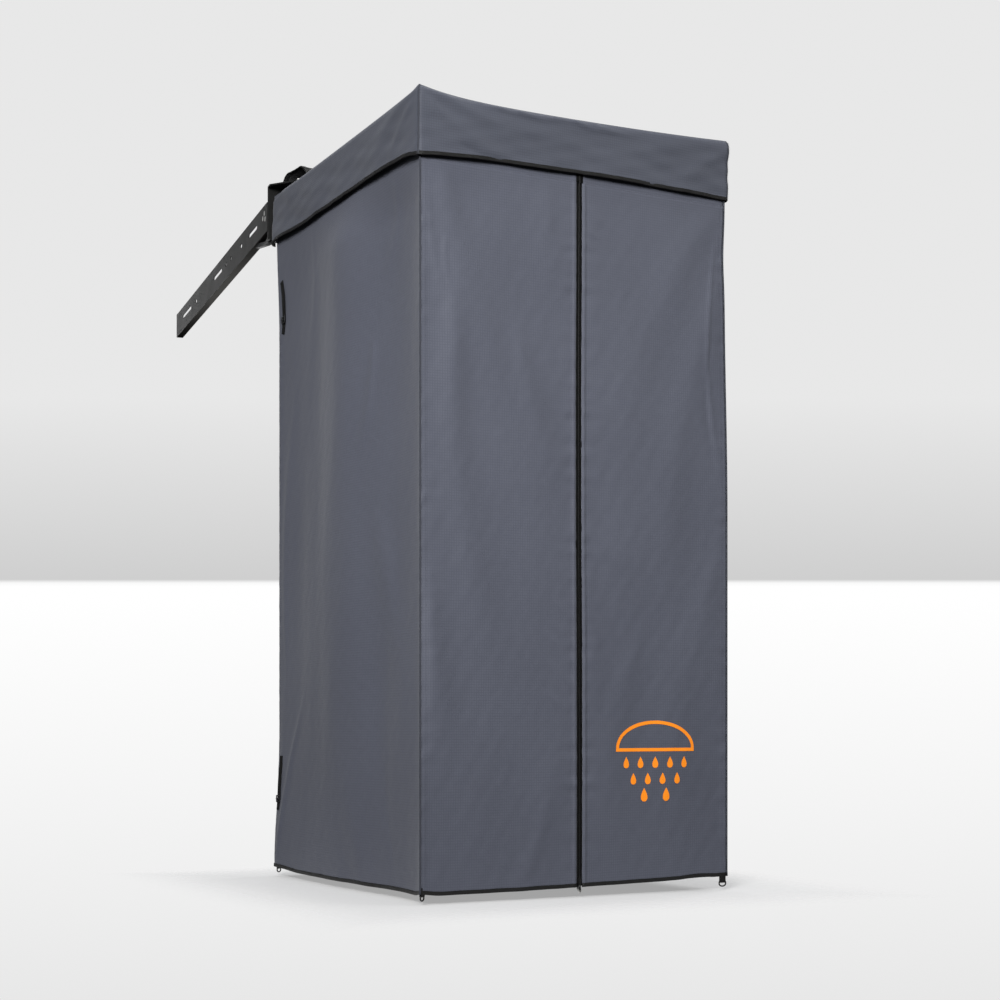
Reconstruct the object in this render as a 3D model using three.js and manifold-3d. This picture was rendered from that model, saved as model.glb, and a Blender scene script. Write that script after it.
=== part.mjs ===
// Privacy shower tent: a fan-arm tent that hangs from a backing channel bolted to a vehicle's roof rack.
// Millimetres, +Z up. X runs along the front wall, from the front-left corner to the front-right one, and
// Y runs from the front wall to the back wall. Shapes are drawn in the tent's frame, with its zero at the
// foot of the front-left corner, and the whole tent is then moved so that the origin is the point on the
// channel's outer face that meets the vehicle.
import * as THREE from "three";
import { mergeVertices } from "three/addons/utils/BufferGeometryUtils.js";
import Module from "manifold-3d";

const wasm = await Module();
wasm.setup();

// ---- driving dimensions ----
const WIDTH = 1000; // along the front wall
const DEPTH = 1115; // front wall to back wall
const HEIGHT = 2200; // hem to roof
const CLOTH = 1.5; // thickness of every cloth solid
const WALL_CLEAR = 10; // walls stop this far under the roof
const GAP = 0.3; // between pieces that touch

const ROOF_HOLE = 24; // round the pivot
const VALANCE_DROP = 190;
const VALANCE_PROUD = 8; // valance's outer face outside the walls
const HEM_HEIGHT = 15;
const HEM_THICK = 3.5;
const BINDING_HEIGHT = 14;
const DOOR_TOP = 2000;
const HUB_NOTCH = 140; // the back cloth stops this far from the hub corner, where the bracket passes

const PIVOT = [70, DEPTH - 40]; // fan pivot in plan
const CORNER_INSET = 30; // arm tips, in from the two walls of their corner
const ARM_WIDE = 20;
const ARM_TALL = 30;
const ARM_WALL = 2;
const ARM_LEVELS = { diagonal: 2085, left: 2120, rear: 2155 }; // underside of each arm
const EYE_RADIUS = 17;
const PLUG_END = 80; // the eye's plug inside the tube, from the pivot
const PLUG_WIDE = [-7, 7];
const PLUG_HALF = 12;
const CAP_WIDE = [-13, 13];
const BOLT_RADIUS = 6;
const BORE_RADIUS = 6.3;

const CHANNEL_TURN = 7.3; // degrees that the channel stands off the line of the left wall
const CHANNEL_LENGTH = 1700;
const CHANNEL_TOP = 2190;
const CHANNEL_TALL = 95;
const CHANNEL_DEEP = 26; // lower flange
const CHANNEL_LIP = 10; // upper flange, short so that the slots stay clear
const CHANNEL_WALL = 3;
const CHANNEL_START = 95; // near end, from the pivot along the channel
const CHANNEL_FACE = -89; // outer face, from the pivot across the channel
const SLOT_DROP = 41; // slot centre line below the channel's top
const SLOT_TALL = 14;
const LONG_SLOTS = [[217, 130], [824, 150], [1462, 190]]; // middle and length, from the near end
const SHORT_SLOTS = [[409, 30], [1261, 30]];
const ROUND_HOLES = [585, 673];
const ROUND_HOLE_RADIUS = 9;
const BOLT_SEATS = [[42, 26], [64, 38], [31, 47]]; // from the near end, and below the channel's top
const SEAT_RADIUS = 8.5;
const SEAT_DEPTH = 2;
const SEAT_BORE = 4.5;
const SHANK_RADIUS = 4;
const SHANK_LONG = 9;
const MOUNT_STATION = 1000; // the mount point, from the channel's near end

const BRACKET_LOW = 2056;
const BRACKET_HIGH = 2240;
const PLATE = 5;
const BRACKET_BACK = [-88, -25]; // back plate, across the channel
const BRACKET_NOSE = 22; // rounded end round the pivot
const BRACKET_STAND = 4; // back plate, before the channel's near end
const EAR_REACH = 100; // into the channel
const EAR_DROP = [12, 70]; // top and foot, below the channel's top
const BRACE_REACH = 300; // far end of the brace, from the pivot along the channel
const BRACE_INSET = [6, 4]; // in from the channel's face, and from its flange's edge
const HEX_RADIUS = 11;
const STACK_RADIUS = 13; // spacers and washers between the arms

const ZIP_X = WIDTH / 2;
const ZIP_TAPE = 7.5;
const ZIP_TAPE_FACES = [0.2, 1.3];
const ZIP_GAP = 2.4;
const DOOR_INSET = 3.3; // in from the tent's corner
const SLIDER_TALL = 20;
const SLIDER_WIDE = 12;
const SLIDER_FOOT = 1;
const SLIDER_OUTER = [-3.6, -0.4];
const SLIDER_INNER = [1.9, 3.8];
const PULL_WIDE = 7;
const PULL_OUTER = { faces: [-6.4, -4.7], top: 16, long: 34 };
const PULL_INNER = { faces: [4.9, 6.6], top: 14, long: 26 };

const RING_WIDE = 26;
const RING_TALL = 19;
const RING_WIRE = 3;
const TAB_WIDE = 18;
const TAB_ROUND = 3.6; // rounded foot
const TAB_EYE = 2.4;
const RING_PIN_DROP = 9; // ring pivot below the hem

const STRAP_Y = [DEPTH - 42, DEPTH - 17];
const STRAP_FACES = [-2.4, -0.9];
const STRAPS = { upper: [1735, 1905, 1768], lower: [182, 358, 205] }; // foot, top and buckle's foot
const BUCKLE_TALL = 24;
const BUCKLE_FACES = [-5, -0.3];
const BUCKLE_SIDE = 3;

const COVER_X = [60, 960];
const COVER_MOUTH = 15; // binding round the open end
const COVER_Y = [990, 1228];
const COVER_FOOT = HEIGHT + 3;
const COVER_TOP = 2292;
const COVER_WALL = 3;
const COVER_ROUND = 45;

const rad = THREE.MathUtils.degToRad;
const round = 24; // segments of a full circle

// ---- materials ----
const finish = (color, roughness, metalness = 0) =>
  new THREE.MeshStandardMaterial({ color, roughness, metalness });
const slateCloth = finish(0x545862, 0.8);
const tapeCloth = finish(0x1e1d1c, 0.85);
const webbing = finish(0x191918, 0.9);
const coverCloth = finish(0x222222, 0.6);
const blackPlastic = finish(0x1a1a1a, 0.5);
const blackSteel = finish(0x2a2a29, 0.5, 0.4);
const channelPaint = finish(0x343432, 0.55, 0.3);
const zincSteel = finish(0xb8b5ae, 0.35, 0.9);
const armAluminium = finish(0x9a9c9e, 0.4, 0.9);

// ---- shape helpers ----
function box(x0, x1, y0, y1, z0, z1) {
  const geometry = new THREE.BoxGeometry(x1 - x0, y1 - y0, z1 - z0);
  return geometry.translate((x0 + x1) / 2, (y0 + y1) / 2, (z0 + z1) / 2);
}

// An outline drawn in X and Y, raised from z0 to z1.
function raised(shape, z0, z1) {
  const settings = { depth: z1 - z0, bevelEnabled: false, curveSegments: 8 };
  return new THREE.ExtrudeGeometry(shape, settings).translate(0, 0, z0);
}

// An outline drawn in Y and Z, carried along X from x0 to x1.
function alongX(shape, x0, x1) {
  return raised(shape, x0, x1).applyMatrix4(new THREE.Matrix4().makeBasis(
    new THREE.Vector3(0, 1, 0), new THREE.Vector3(0, 0, 1), new THREE.Vector3(1, 0, 0)));
}

// An outline drawn in X and Z, carried along Y from y0 to y1.
function alongY(shape, y0, y1) {
  return raised(shape, -y1, -y0).rotateX(Math.PI / 2);
}

function polygon(...points) {
  return new THREE.Shape(points.map(([x, y]) => new THREE.Vector2(x, y)));
}

function circle(Curve, x, y, radius) {
  return new Curve().absarc(x, y, radius, 0, 2 * Math.PI, false);
}

// A slot with round ends, drawn as an outline.
function stadium(x, y, length, tall) {
  const reach = (length - tall) / 2;
  const shape = new THREE.Shape();
  shape.absarc(x + reach, y, tall / 2, -Math.PI / 2, Math.PI / 2, false);
  shape.absarc(x - reach, y, tall / 2, Math.PI / 2, 1.5 * Math.PI, false);
  return shape;
}

function cylinder(radius, z0, z1, sides = round) {
  const geometry = new THREE.CylinderGeometry(radius, radius, z1 - z0, sides);
  return geometry.rotateX(Math.PI / 2).translate(0, 0, (z0 + z1) / 2);
}

function ring(outer, inner, z0, z1) {
  const shape = circle(THREE.Shape, 0, 0, outer);
  shape.holes.push(circle(THREE.Path, 0, 0, inner));
  return raised(shape, z0, z1);
}

function solid(geometry) {
  const bare = geometry.clone();
  bare.deleteAttribute("normal");
  bare.deleteAttribute("uv");
  const merged = mergeVertices(bare, 1e-3);
  return new wasm.Manifold(new wasm.Mesh({
    numProp: 3,
    vertProperties: merged.attributes.position.array,
    triVerts: new Uint32Array(merged.index.array),
  }));
}

function shell(manifold) {
  const mesh = manifold.getMesh();
  const geometry = new THREE.BufferGeometry();
  geometry.setAttribute("position", new THREE.BufferAttribute(new Float32Array(mesh.vertProperties), 3));
  geometry.setIndex(new THREE.BufferAttribute(new Uint32Array(mesh.triVerts), 1));
  geometry.computeVertexNormals();
  return geometry;
}

function join(...geometries) {
  return shell(geometries.map(solid).reduce((all, next) => all.add(next)));
}

function cut(geometry, ...tools) {
  return shell(tools.map(solid).reduce((rest, tool) => rest.subtract(tool), solid(geometry)));
}

function add(parent, name, geometry, material) {
  const mesh = new THREE.Mesh(geometry, material);
  mesh.name = name;
  parent.add(mesh);
}

// ---- groups ----
const root = new THREE.Group();
const tent = new THREE.Group();
root.add(tent);
const turn = rad(CHANNEL_TURN);
// The channel's own frame: zero at the pivot, Y along the channel, X across it towards the tent's right.
const rack = new THREE.Group();
rack.position.set(PIVOT[0], PIVOT[1], 0);
rack.rotation.z = -turn;
tent.add(rack);

// ---- backing channel ----
function backingChannel() {
  const low = CHANNEL_TOP - CHANNEL_TALL;
  const tip = CHANNEL_FACE + CHANNEL_DEEP;
  const lip = CHANNEL_FACE + CHANNEL_LIP;
  const inner = CHANNEL_FACE + CHANNEL_WALL;
  const under = CHANNEL_TOP - CHANNEL_WALL;
  const section = polygon(
    [CHANNEL_FACE, low], [tip, low], [tip, low + CHANNEL_WALL], [inner, low + CHANNEL_WALL],
    [inner, under], [lip, under], [lip, CHANNEL_TOP], [CHANNEL_FACE, CHANNEL_TOP]);
  const through = [CHANNEL_FACE - 1, inner + 1];
  const slotLine = CHANNEL_TOP - SLOT_DROP;
  const slots = [...LONG_SLOTS, ...SHORT_SLOTS].map(([middle, length]) =>
    alongX(stadium(CHANNEL_START + middle, slotLine, length, SLOT_TALL), ...through));
  const holes = ROUND_HOLES.map((middle) =>
    alongX(circle(THREE.Shape, CHANNEL_START + middle, slotLine, ROUND_HOLE_RADIUS), ...through));
  const seats = BOLT_SEATS.flatMap(([along, drop]) => {
    const spot = [CHANNEL_START + along, CHANNEL_TOP - drop];
    return [
      alongX(circle(THREE.Shape, ...spot, SEAT_RADIUS), CHANNEL_FACE - 1, CHANNEL_FACE + SEAT_DEPTH),
      alongX(circle(THREE.Shape, ...spot, SEAT_BORE), ...through)];
  });
  return cut(alongY(section, CHANNEL_START, CHANNEL_START + CHANNEL_LENGTH), ...slots, ...holes, ...seats);
}

// ---- hub bracket: two plates over and under the arms, a back plate, and an ear inside the channel ----
function hubBracket() {
  const [left, right] = BRACKET_BACK;
  const back = CHANNEL_START - BRACKET_STAND;
  const outline = new THREE.Shape();
  outline.moveTo(left, back);
  outline.lineTo(left, back - 30);
  outline.lineTo(-BRACKET_NOSE, -8);
  outline.absarc(0, 0, BRACKET_NOSE, rad(200), rad(389), false);
  outline.lineTo(right + 14, back);
  outline.closePath();
  outline.holes.push(circle(THREE.Path, 0, 0, BORE_RADIUS));
  const inner = CHANNEL_FACE + CHANNEL_WALL + GAP;
  const [earTop, earFoot] = EAR_DROP.map((drop) => CHANNEL_TOP - drop);
  const ear = box(inner, inner + PLATE + 1, back - 1, back + EAR_REACH, earFoot, earTop);
  const holes = BOLT_SEATS.map(([along, drop]) => {
    const hole = circle(THREE.Shape, CHANNEL_START + along, CHANNEL_TOP - drop, SHANK_RADIUS + GAP);
    return alongX(hole, inner - 1, inner + PLATE + 2);
  });
  const body = join(
    raised(outline, BRACKET_LOW, BRACKET_LOW + PLATE),
    raised(outline, BRACKET_HIGH - PLATE, BRACKET_HIGH),
    box(left, right, back - PLATE, back, BRACKET_LOW, BRACKET_HIGH),
    ear);
  return cut(body, ...holes);
}

// A bar that rises from the bracket's foot to the channel's lower flange.
function hubBrace() {
  const flange = CHANNEL_TOP - CHANNEL_TALL - GAP;
  const foot = CHANNEL_START - BRACKET_STAND + GAP;
  const knee = foot + 60;
  const side = polygon(
    [foot, BRACKET_LOW], [knee, BRACKET_LOW + 6], [BRACE_REACH, flange - PLATE], [BRACE_REACH, flange],
    [BRACE_REACH - 50, flange], [knee, BRACKET_LOW + 18], [foot, BRACKET_LOW + 26]);
  return alongX(side, CHANNEL_FACE + BRACE_INSET[0], CHANNEL_FACE + CHANNEL_DEEP - BRACE_INSET[1]);
}

add(rack, "backing_channel", backingChannel(), channelPaint);
add(rack, "hub_bracket", hubBracket(), blackSteel);
add(rack, "hub_brace", hubBrace(), blackSteel);
BOLT_SEATS.forEach(([along, drop], i) => {
  const seat = new THREE.Group();
  seat.position.set(CHANNEL_FACE, CHANNEL_START + along, CHANNEL_TOP - drop);
  seat.rotation.y = Math.PI / 2; // the bolt's own +Z points into the channel
  rack.add(seat);
  const head = cylinder(SEAT_RADIUS - GAP, 0.1, SEAT_DEPTH - GAP);
  add(seat, `channel_bolt_${i + 1}`, join(head, cylinder(SHANK_RADIUS, 1, SHANK_LONG)), zincSteel);
});

// ---- pivot: one bolt, two spacers and two washers hold the three arm eyes ----
const boltHead = join(
  cylinder(BOLT_RADIUS, BRACKET_LOW - 14, BRACKET_HIGH + 4),
  cylinder(HEX_RADIUS, BRACKET_HIGH + GAP, BRACKET_HIGH + 8, 6));
add(rack, "pivot_bolt", boltHead, zincSteel);
const nutShape = polygon(...Array.from({ length: 6 }, (_, i) =>
  [HEX_RADIUS * Math.cos(rad(60 * i)), HEX_RADIUS * Math.sin(rad(60 * i))]));
nutShape.holes.push(circle(THREE.Path, 0, 0, BORE_RADIUS));
add(rack, "pivot_nut", raised(nutShape, BRACKET_LOW - 10, BRACKET_LOW - GAP), zincSteel);
const stack = [
  ["pivot_spacer_lower", BRACKET_LOW + PLATE, ARM_LEVELS.diagonal],
  ["pivot_washer_lower", ARM_LEVELS.diagonal + ARM_TALL, ARM_LEVELS.left],
  ["pivot_washer_upper", ARM_LEVELS.left + ARM_TALL, ARM_LEVELS.rear],
  ["pivot_spacer_upper", ARM_LEVELS.rear + ARM_TALL, BRACKET_HIGH - PLATE],
];
for (const [name, low, high] of stack) {
  add(rack, name, ring(STACK_RADIUS, BORE_RADIUS, low + GAP, high - GAP), blackPlastic);
}

// ---- arms: each is a tube on a pivot eye, with a corner cap that props the roof ----
const arms = {
  diagonal: [WIDTH - CORNER_INSET, CORNER_INSET],
  left: [CORNER_INSET, CORNER_INSET],
  rear: [WIDTH - CORNER_INSET, DEPTH - CORNER_INSET],
};
for (const [name, tip] of Object.entries(arms)) {
  const across = tip[0] - PIVOT[0];
  const along = tip[1] - PIVOT[1];
  const reach = Math.hypot(across, along);
  const low = ARM_LEVELS[name];
  const middle = low + ARM_TALL / 2;
  const arm = new THREE.Group();
  arm.position.set(PIVOT[0], PIVOT[1], 0);
  arm.rotation.z = Math.atan2(along, across);
  tent.add(arm);

  const eye = join(
    ring(EYE_RADIUS, BORE_RADIUS, low, low + ARM_TALL),
    box(EYE_RADIUS - 4, PLUG_END, ...PLUG_WIDE, middle - PLUG_HALF, middle + PLUG_HALF));
  add(arm, `arm_${name}_eye`, eye, blackPlastic);

  const halfWide = ARM_WIDE / 2;
  const halfBore = halfWide - ARM_WALL;
  const top = low + ARM_TALL;
  const tube = polygon([-halfWide, low], [halfWide, low], [halfWide, top], [-halfWide, top]);
  tube.holes.push(new THREE.Path([
    [-halfBore, low + ARM_WALL], [halfBore, low + ARM_WALL],
    [halfBore, top - ARM_WALL], [-halfBore, top - ARM_WALL],
  ].map(([x, y]) => new THREE.Vector2(x, y))));
  add(arm, `arm_${name}_tube`, alongX(tube, 22, reach - 12), armAluminium);

  const cap = join(
    box(reach - 60, reach - 10, ...PLUG_WIDE, middle - PLUG_HALF, middle + PLUG_HALF),
    box(reach - 12 + GAP, reach + 14, ...CAP_WIDE, low, HEIGHT - 4));
  add(arm, `arm_${name}_corner_cap`, cap, blackPlastic);
}

// ---- roof and valance ----
const out = VALANCE_PROUD;
const valanceLow = HEIGHT - VALANCE_DROP;
const roofShape = polygon(
  [-out, -out], [WIDTH + out, -out], [WIDTH + out, DEPTH + out], [-out, DEPTH + out]);
roofShape.holes.push(circle(THREE.Path, ...PIVOT, ROOF_HOLE));
add(tent, "roof_panel", raised(roofShape, HEIGHT - CLOTH, HEIGHT), slateCloth);

// Each side of the valance: its box in plan, on the outside of one wall.
const inside = out - CLOTH;
const valanceSides = {
  front: [-inside + GAP, WIDTH + inside - GAP, -out, -inside],
  left: [-out, -inside, -out, DEPTH + out],
  right: [WIDTH + inside, WIDTH + out, -out, DEPTH + out],
  rear: [HUB_NOTCH, WIDTH + inside - GAP, DEPTH + inside, DEPTH + out],
};
const bindingTop = valanceLow + BINDING_HEIGHT;
for (const [side, plan] of Object.entries(valanceSides)) {
  add(tent, `valance_${side}`, box(...plan, bindingTop + GAP, HEIGHT - CLOTH - GAP), slateCloth);
  add(tent, `valance_binding_${side}`, box(...plan, valanceLow, bindingTop), tapeCloth);
}

// ---- walls and hems ----
const wallTop = HEIGHT - WALL_CLEAR;
const wallFoot = HEM_HEIGHT + GAP;
add(tent, "wall_left", box(0, CLOTH, 0, DEPTH, wallFoot, wallTop), slateCloth);
add(tent, "wall_right", box(WIDTH - CLOTH, WIDTH, 0, DEPTH, wallFoot, wallTop), slateCloth);
const inner = CLOTH + GAP;
const notchFoot = BRACKET_LOW - 20;
const rearOutline = polygon(
  [inner, wallFoot], [WIDTH - inner, wallFoot], [WIDTH - inner, wallTop],
  [HUB_NOTCH, wallTop], [HUB_NOTCH, notchFoot], [inner, notchFoot]);
add(tent, "wall_rear", alongY(rearOutline, DEPTH - CLOTH, DEPTH), slateCloth);
const headerSpan = [DOOR_INSET, WIDTH - DOOR_INSET];
add(tent, "front_header", box(...headerSpan, 0, CLOTH, DOOR_TOP + GAP, wallTop), slateCloth);

const hemOut = 1;
const hemIn = HEM_THICK - hemOut;
const hemTall = [0, HEM_HEIGHT];
const hemLong = [-hemOut, DEPTH + hemOut];
const rearSpan = [hemIn + GAP, WIDTH - hemIn - GAP];
add(tent, "hem_left", box(-hemOut, hemIn, ...hemLong, ...hemTall), tapeCloth);
add(tent, "hem_right", box(WIDTH - hemIn, WIDTH + hemOut, ...hemLong, ...hemTall), tapeCloth);
add(tent, "hem_rear", box(...rearSpan, DEPTH - hemIn, DEPTH + hemOut, ...hemTall), tapeCloth);

// ---- doors: the two halves of the front wall, each with its hem and its half of the zip ----
const tapeStart = ZIP_GAP / 2;
const doorEdge = tapeStart + ZIP_TAPE + GAP; // from the zip's middle to the door's cloth
for (const [side, away] of [["left", -1], ["right", 1]]) {
  const span = (near, far) => [ZIP_X + away * near, ZIP_X + away * far].sort((a, b) => a - b);
  const cloth = span(doorEdge, ZIP_X - DOOR_INSET);
  const tape = span(tapeStart, tapeStart + ZIP_TAPE);
  add(tent, `door_${side}`, box(...cloth, 0, CLOTH, wallFoot, DOOR_TOP), slateCloth);
  add(tent, `door_hem_${side}`, box(...cloth, -hemOut, hemIn, ...hemTall), tapeCloth);
  add(tent, `zip_tape_${side}`, box(...tape, ...ZIP_TAPE_FACES, SLIDER_TALL + 3, DOOR_TOP), blackPlastic);
}

// ---- zip slider, two plates joined between the tapes, with a pull on each face ----
const sliderSpan = [ZIP_X - SLIDER_WIDE / 2, ZIP_X + SLIDER_WIDE / 2];
const sliderTall = [SLIDER_FOOT, SLIDER_FOOT + SLIDER_TALL];
const slider = join(
  box(...sliderSpan, ...SLIDER_OUTER, ...sliderTall),
  box(...sliderSpan, ...SLIDER_INNER, ...sliderTall),
  box(ZIP_X - 0.9, ZIP_X + 0.9, -1, 2.5, ...sliderTall));
add(tent, "zip_slider", slider, blackPlastic);

function zipPull({ faces, top, long }) {
  const plate = stadium(top - long / 2, 0, long, PULL_WIDE);
  plate.holes.push(circle(THREE.Path, top - long + 4, 0, 2.2));
  // Drawn with X as height and Y across.
  const upright = new THREE.Matrix4().makeBasis(
    new THREE.Vector3(0, 0, 1), new THREE.Vector3(1, 0, 0), new THREE.Vector3(0, 1, 0));
  return raised(plate, ...faces).applyMatrix4(upright).translate(ZIP_X, 0, 0);
}
add(tent, "zip_pull_outer", zipPull(PULL_OUTER), blackPlastic);
add(tent, "zip_pull_inner", zipPull(PULL_INNER), blackPlastic);

// ---- corner tabs and D-rings: pegs or guy lines hold the hem's corners down ----
function cornerTab() {
  const section = new THREE.Shape();
  section.moveTo(-TAB_ROUND, -GAP);
  section.lineTo(-TAB_ROUND, -RING_PIN_DROP);
  section.absarc(0, -RING_PIN_DROP, TAB_ROUND, Math.PI, 2 * Math.PI, false);
  section.lineTo(TAB_ROUND, -GAP);
  section.closePath();
  section.holes.push(circle(THREE.Path, 0, -RING_PIN_DROP, TAB_EYE));
  return alongX(section, -TAB_WIDE / 2, TAB_WIDE / 2);
}

function dRing() {
  const half = RING_WIDE / 2;
  const wire = RING_WIRE;
  const top = wire / 2;
  const bow = half * 0.72;
  const low = top - RING_TALL + bow;
  const shape = new THREE.Shape();
  shape.moveTo(half, top);
  shape.lineTo(-half, top);
  shape.lineTo(-half, low);
  shape.absellipse(0, low, half, bow, Math.PI, 2 * Math.PI, false, 0);
  shape.closePath();
  const hole = new THREE.Path();
  hole.moveTo(half - wire, top - wire);
  hole.lineTo(wire - half, top - wire);
  hole.lineTo(wire - half, low);
  hole.absellipse(0, low, half - wire, bow - wire, Math.PI, 2 * Math.PI, false, 0);
  hole.closePath();
  shape.holes.push(hole);
  return alongY(shape, -wire / 2, wire / 2).translate(0, 0, -RING_PIN_DROP);
}

const foldAngle = Math.atan2(arms.diagonal[1] - PIVOT[1], arms.diagonal[0] - PIVOT[0]);
const acrossFold = foldAngle + Math.PI / 2; // rings' bars lie across the line of the diagonal arm
const corners = {
  front_left: [9, 6, acrossFold],
  front_right: [WIDTH - 12, 1, 0],
  rear_left: [8, DEPTH - 8, acrossFold],
  rear_right: [WIDTH - 8, DEPTH - 8, acrossFold],
};
for (const [name, [x, y, angle]] of Object.entries(corners)) {
  const corner = new THREE.Group();
  corner.position.set(x, y, 0);
  corner.rotation.z = angle;
  tent.add(corner);
  add(corner, `corner_tab_${name}`, cornerTab(), webbing);
  add(corner, `d_ring_${name}`, dRing(), blackSteel);
}

// ---- tie straps on the left wall's back edge, each through its buckle ----
function buckleFrame() {
  const [face, back] = BUCKLE_FACES;
  const [slotFace, slotBack] = [STRAP_FACES[0] - 0.4, back - GAP];
  const [y0, y1] = [STRAP_Y[0] - BUCKLE_SIDE, STRAP_Y[1] + BUCKLE_SIDE];
  const [slot0, slot1] = [STRAP_Y[0] - 0.5, STRAP_Y[1] + 0.5];
  const frame = polygon([face, y0], [back, y0], [back, y1], [face, y1]);
  const slot = [[slotFace, slot0], [slotBack, slot0], [slotBack, slot1], [slotFace, slot1]];
  frame.holes.push(new THREE.Path(slot.map(([x, y]) => new THREE.Vector2(x, y))));
  return frame;
}

for (const [level, [low, high, buckle]] of Object.entries(STRAPS)) {
  add(tent, `tie_strap_${level}`, box(...STRAP_FACES, ...STRAP_Y, low, high), webbing);
  add(tent, `tie_buckle_${level}`, raised(buckleFrame(), buckle, buckle + BUCKLE_TALL), blackPlastic);
}

// ---- storage cover: an open sleeve laid back along the roof's rear edge, its mouth at the hub ----
function sleeve(y0, y1, top, radius) {
  const shape = new THREE.Shape();
  shape.moveTo(y0, COVER_FOOT);
  shape.lineTo(y1, COVER_FOOT);
  shape.absarc(y1 - radius, top - radius, radius, 0, Math.PI / 2, false);
  shape.absarc(y0 + radius, top - radius, radius, Math.PI / 2, Math.PI, false);
  shape.closePath();
  return shape;
}

const [coverFront, coverBack] = COVER_Y;
const [mouth, farEnd] = COVER_X;
const sleeveStart = mouth + COVER_MOUTH;
const outer = sleeve(coverFront, coverBack, COVER_TOP, COVER_ROUND);
const hollowY = [coverFront + COVER_WALL, coverBack - COVER_WALL];
const hollow = sleeve(...hollowY, COVER_TOP - COVER_WALL, COVER_ROUND - COVER_WALL);
// The sleeve's inside from x0 to x1, with its open underside.
function sleeveInside(x0, x1) {
  return [alongX(hollow, x0, x1), box(x0, x1, ...hollowY, COVER_FOOT - 1, COVER_FOOT + 10)];
}
const sleeveSolid = alongX(outer, sleeveStart + GAP, farEnd);
const cover = cut(sleeveSolid, ...sleeveInside(sleeveStart - 1, farEnd - COVER_WALL));
add(tent, "storage_cover", cover, coverCloth);
const mouthBinding = cut(alongX(outer, mouth, sleeveStart), ...sleeveInside(mouth - 1, sleeveStart + 1));
add(tent, "cover_mouth_binding", mouthBinding, tapeCloth);

// ---- the origin goes to the mount point on the channel's outer face ----
const station = CHANNEL_START + MOUNT_STATION;
tent.position.set(
  -(PIVOT[0] + CHANNEL_FACE * Math.cos(turn) + station * Math.sin(turn)),
  -(PIVOT[1] - CHANNEL_FACE * Math.sin(turn) + station * Math.cos(turn)),
  -(CHANNEL_TOP - CHANNEL_TALL / 2));

export default root;
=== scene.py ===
import math

import bmesh
import bpy
import numpy as np
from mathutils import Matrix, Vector


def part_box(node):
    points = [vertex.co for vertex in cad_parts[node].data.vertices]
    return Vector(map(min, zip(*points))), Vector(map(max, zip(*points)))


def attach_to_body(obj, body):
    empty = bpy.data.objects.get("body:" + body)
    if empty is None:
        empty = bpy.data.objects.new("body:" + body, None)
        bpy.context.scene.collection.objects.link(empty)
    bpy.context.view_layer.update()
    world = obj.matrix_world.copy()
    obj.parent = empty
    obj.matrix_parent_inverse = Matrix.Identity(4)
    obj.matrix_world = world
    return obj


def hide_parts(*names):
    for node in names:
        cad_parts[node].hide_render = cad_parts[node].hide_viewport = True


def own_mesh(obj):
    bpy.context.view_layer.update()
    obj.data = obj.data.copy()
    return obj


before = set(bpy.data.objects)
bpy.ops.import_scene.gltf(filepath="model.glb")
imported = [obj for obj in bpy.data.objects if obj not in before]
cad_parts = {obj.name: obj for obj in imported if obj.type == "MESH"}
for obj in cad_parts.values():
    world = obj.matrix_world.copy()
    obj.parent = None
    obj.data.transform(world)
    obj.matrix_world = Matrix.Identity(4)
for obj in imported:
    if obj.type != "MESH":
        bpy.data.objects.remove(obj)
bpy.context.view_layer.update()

# ---- places taken from the CAD ----
FOOT = np.array([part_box("wall_left")[0].x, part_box("wall_left")[0].y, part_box("hem_left")[0].z])


def cad(node):
    """A CAD node's lowest and highest corners in the tent's frame."""
    low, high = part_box(node)
    return np.array(low) - FOOT, np.array(high) - FOOT


def middle_of(node):
    """The middle of a CAD node, in the tent's frame."""
    return sum(cad(node)) / 2


WIDTH = cad("wall_right")[1][0]
DEPTH = cad("wall_left")[1][1]
TOP = cad("roof_panel")[1][2]
PROUD = cad("valance_right")[1][0] - WIDTH  # how far the valance stands outside the walls
WALL_TOP = cad("wall_left")[1][2]
DOOR_TOP = cad("door_left")[1][2]
NOTCH_X = cad("valance_rear")[0][0]  # the back cloth stops here, to let the bracket through
NOTCH_Z = cad("hub_bracket")[0][2] - 0.02
PIVOT = middle_of("pivot_bolt")
ZIP_X = middle_of("zip_slider")[0]

# ---- the diagonal arm's way, from the pivot to its corner cap, and the axis across it ----
arm_way = (middle_of("arm_diagonal_corner_cap") - PIVOT)[:2]
FOLD_LINE = arm_way / np.linalg.norm(arm_way)
FOLD_AXIS = (-FOLD_LINE[1], FOLD_LINE[0], 0.0)

# ---- camera ----
CAMERA_TURN = math.radians(27.68)  # the camera and the backdrop's walls are turned by this


def placed(name, data):
    """A new object in the scene."""
    thing = bpy.data.objects.new(name, data)
    bpy.context.scene.collection.objects.link(thing)
    return thing


camera_data = bpy.data.cameras.new("camera")
camera_data.lens = 63.38
camera_data.sensor_width = 36.0
camera_data.shift_y = 0.2276
camera = placed("camera", camera_data)
camera.location = Vector((-2.031, -4.340, 0.450)) + Vector(FOOT)
camera.rotation_euler = (math.pi / 2, 0.0, -CAMERA_TURN)
bpy.context.scene.camera = camera

# ---- materials ----


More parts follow.
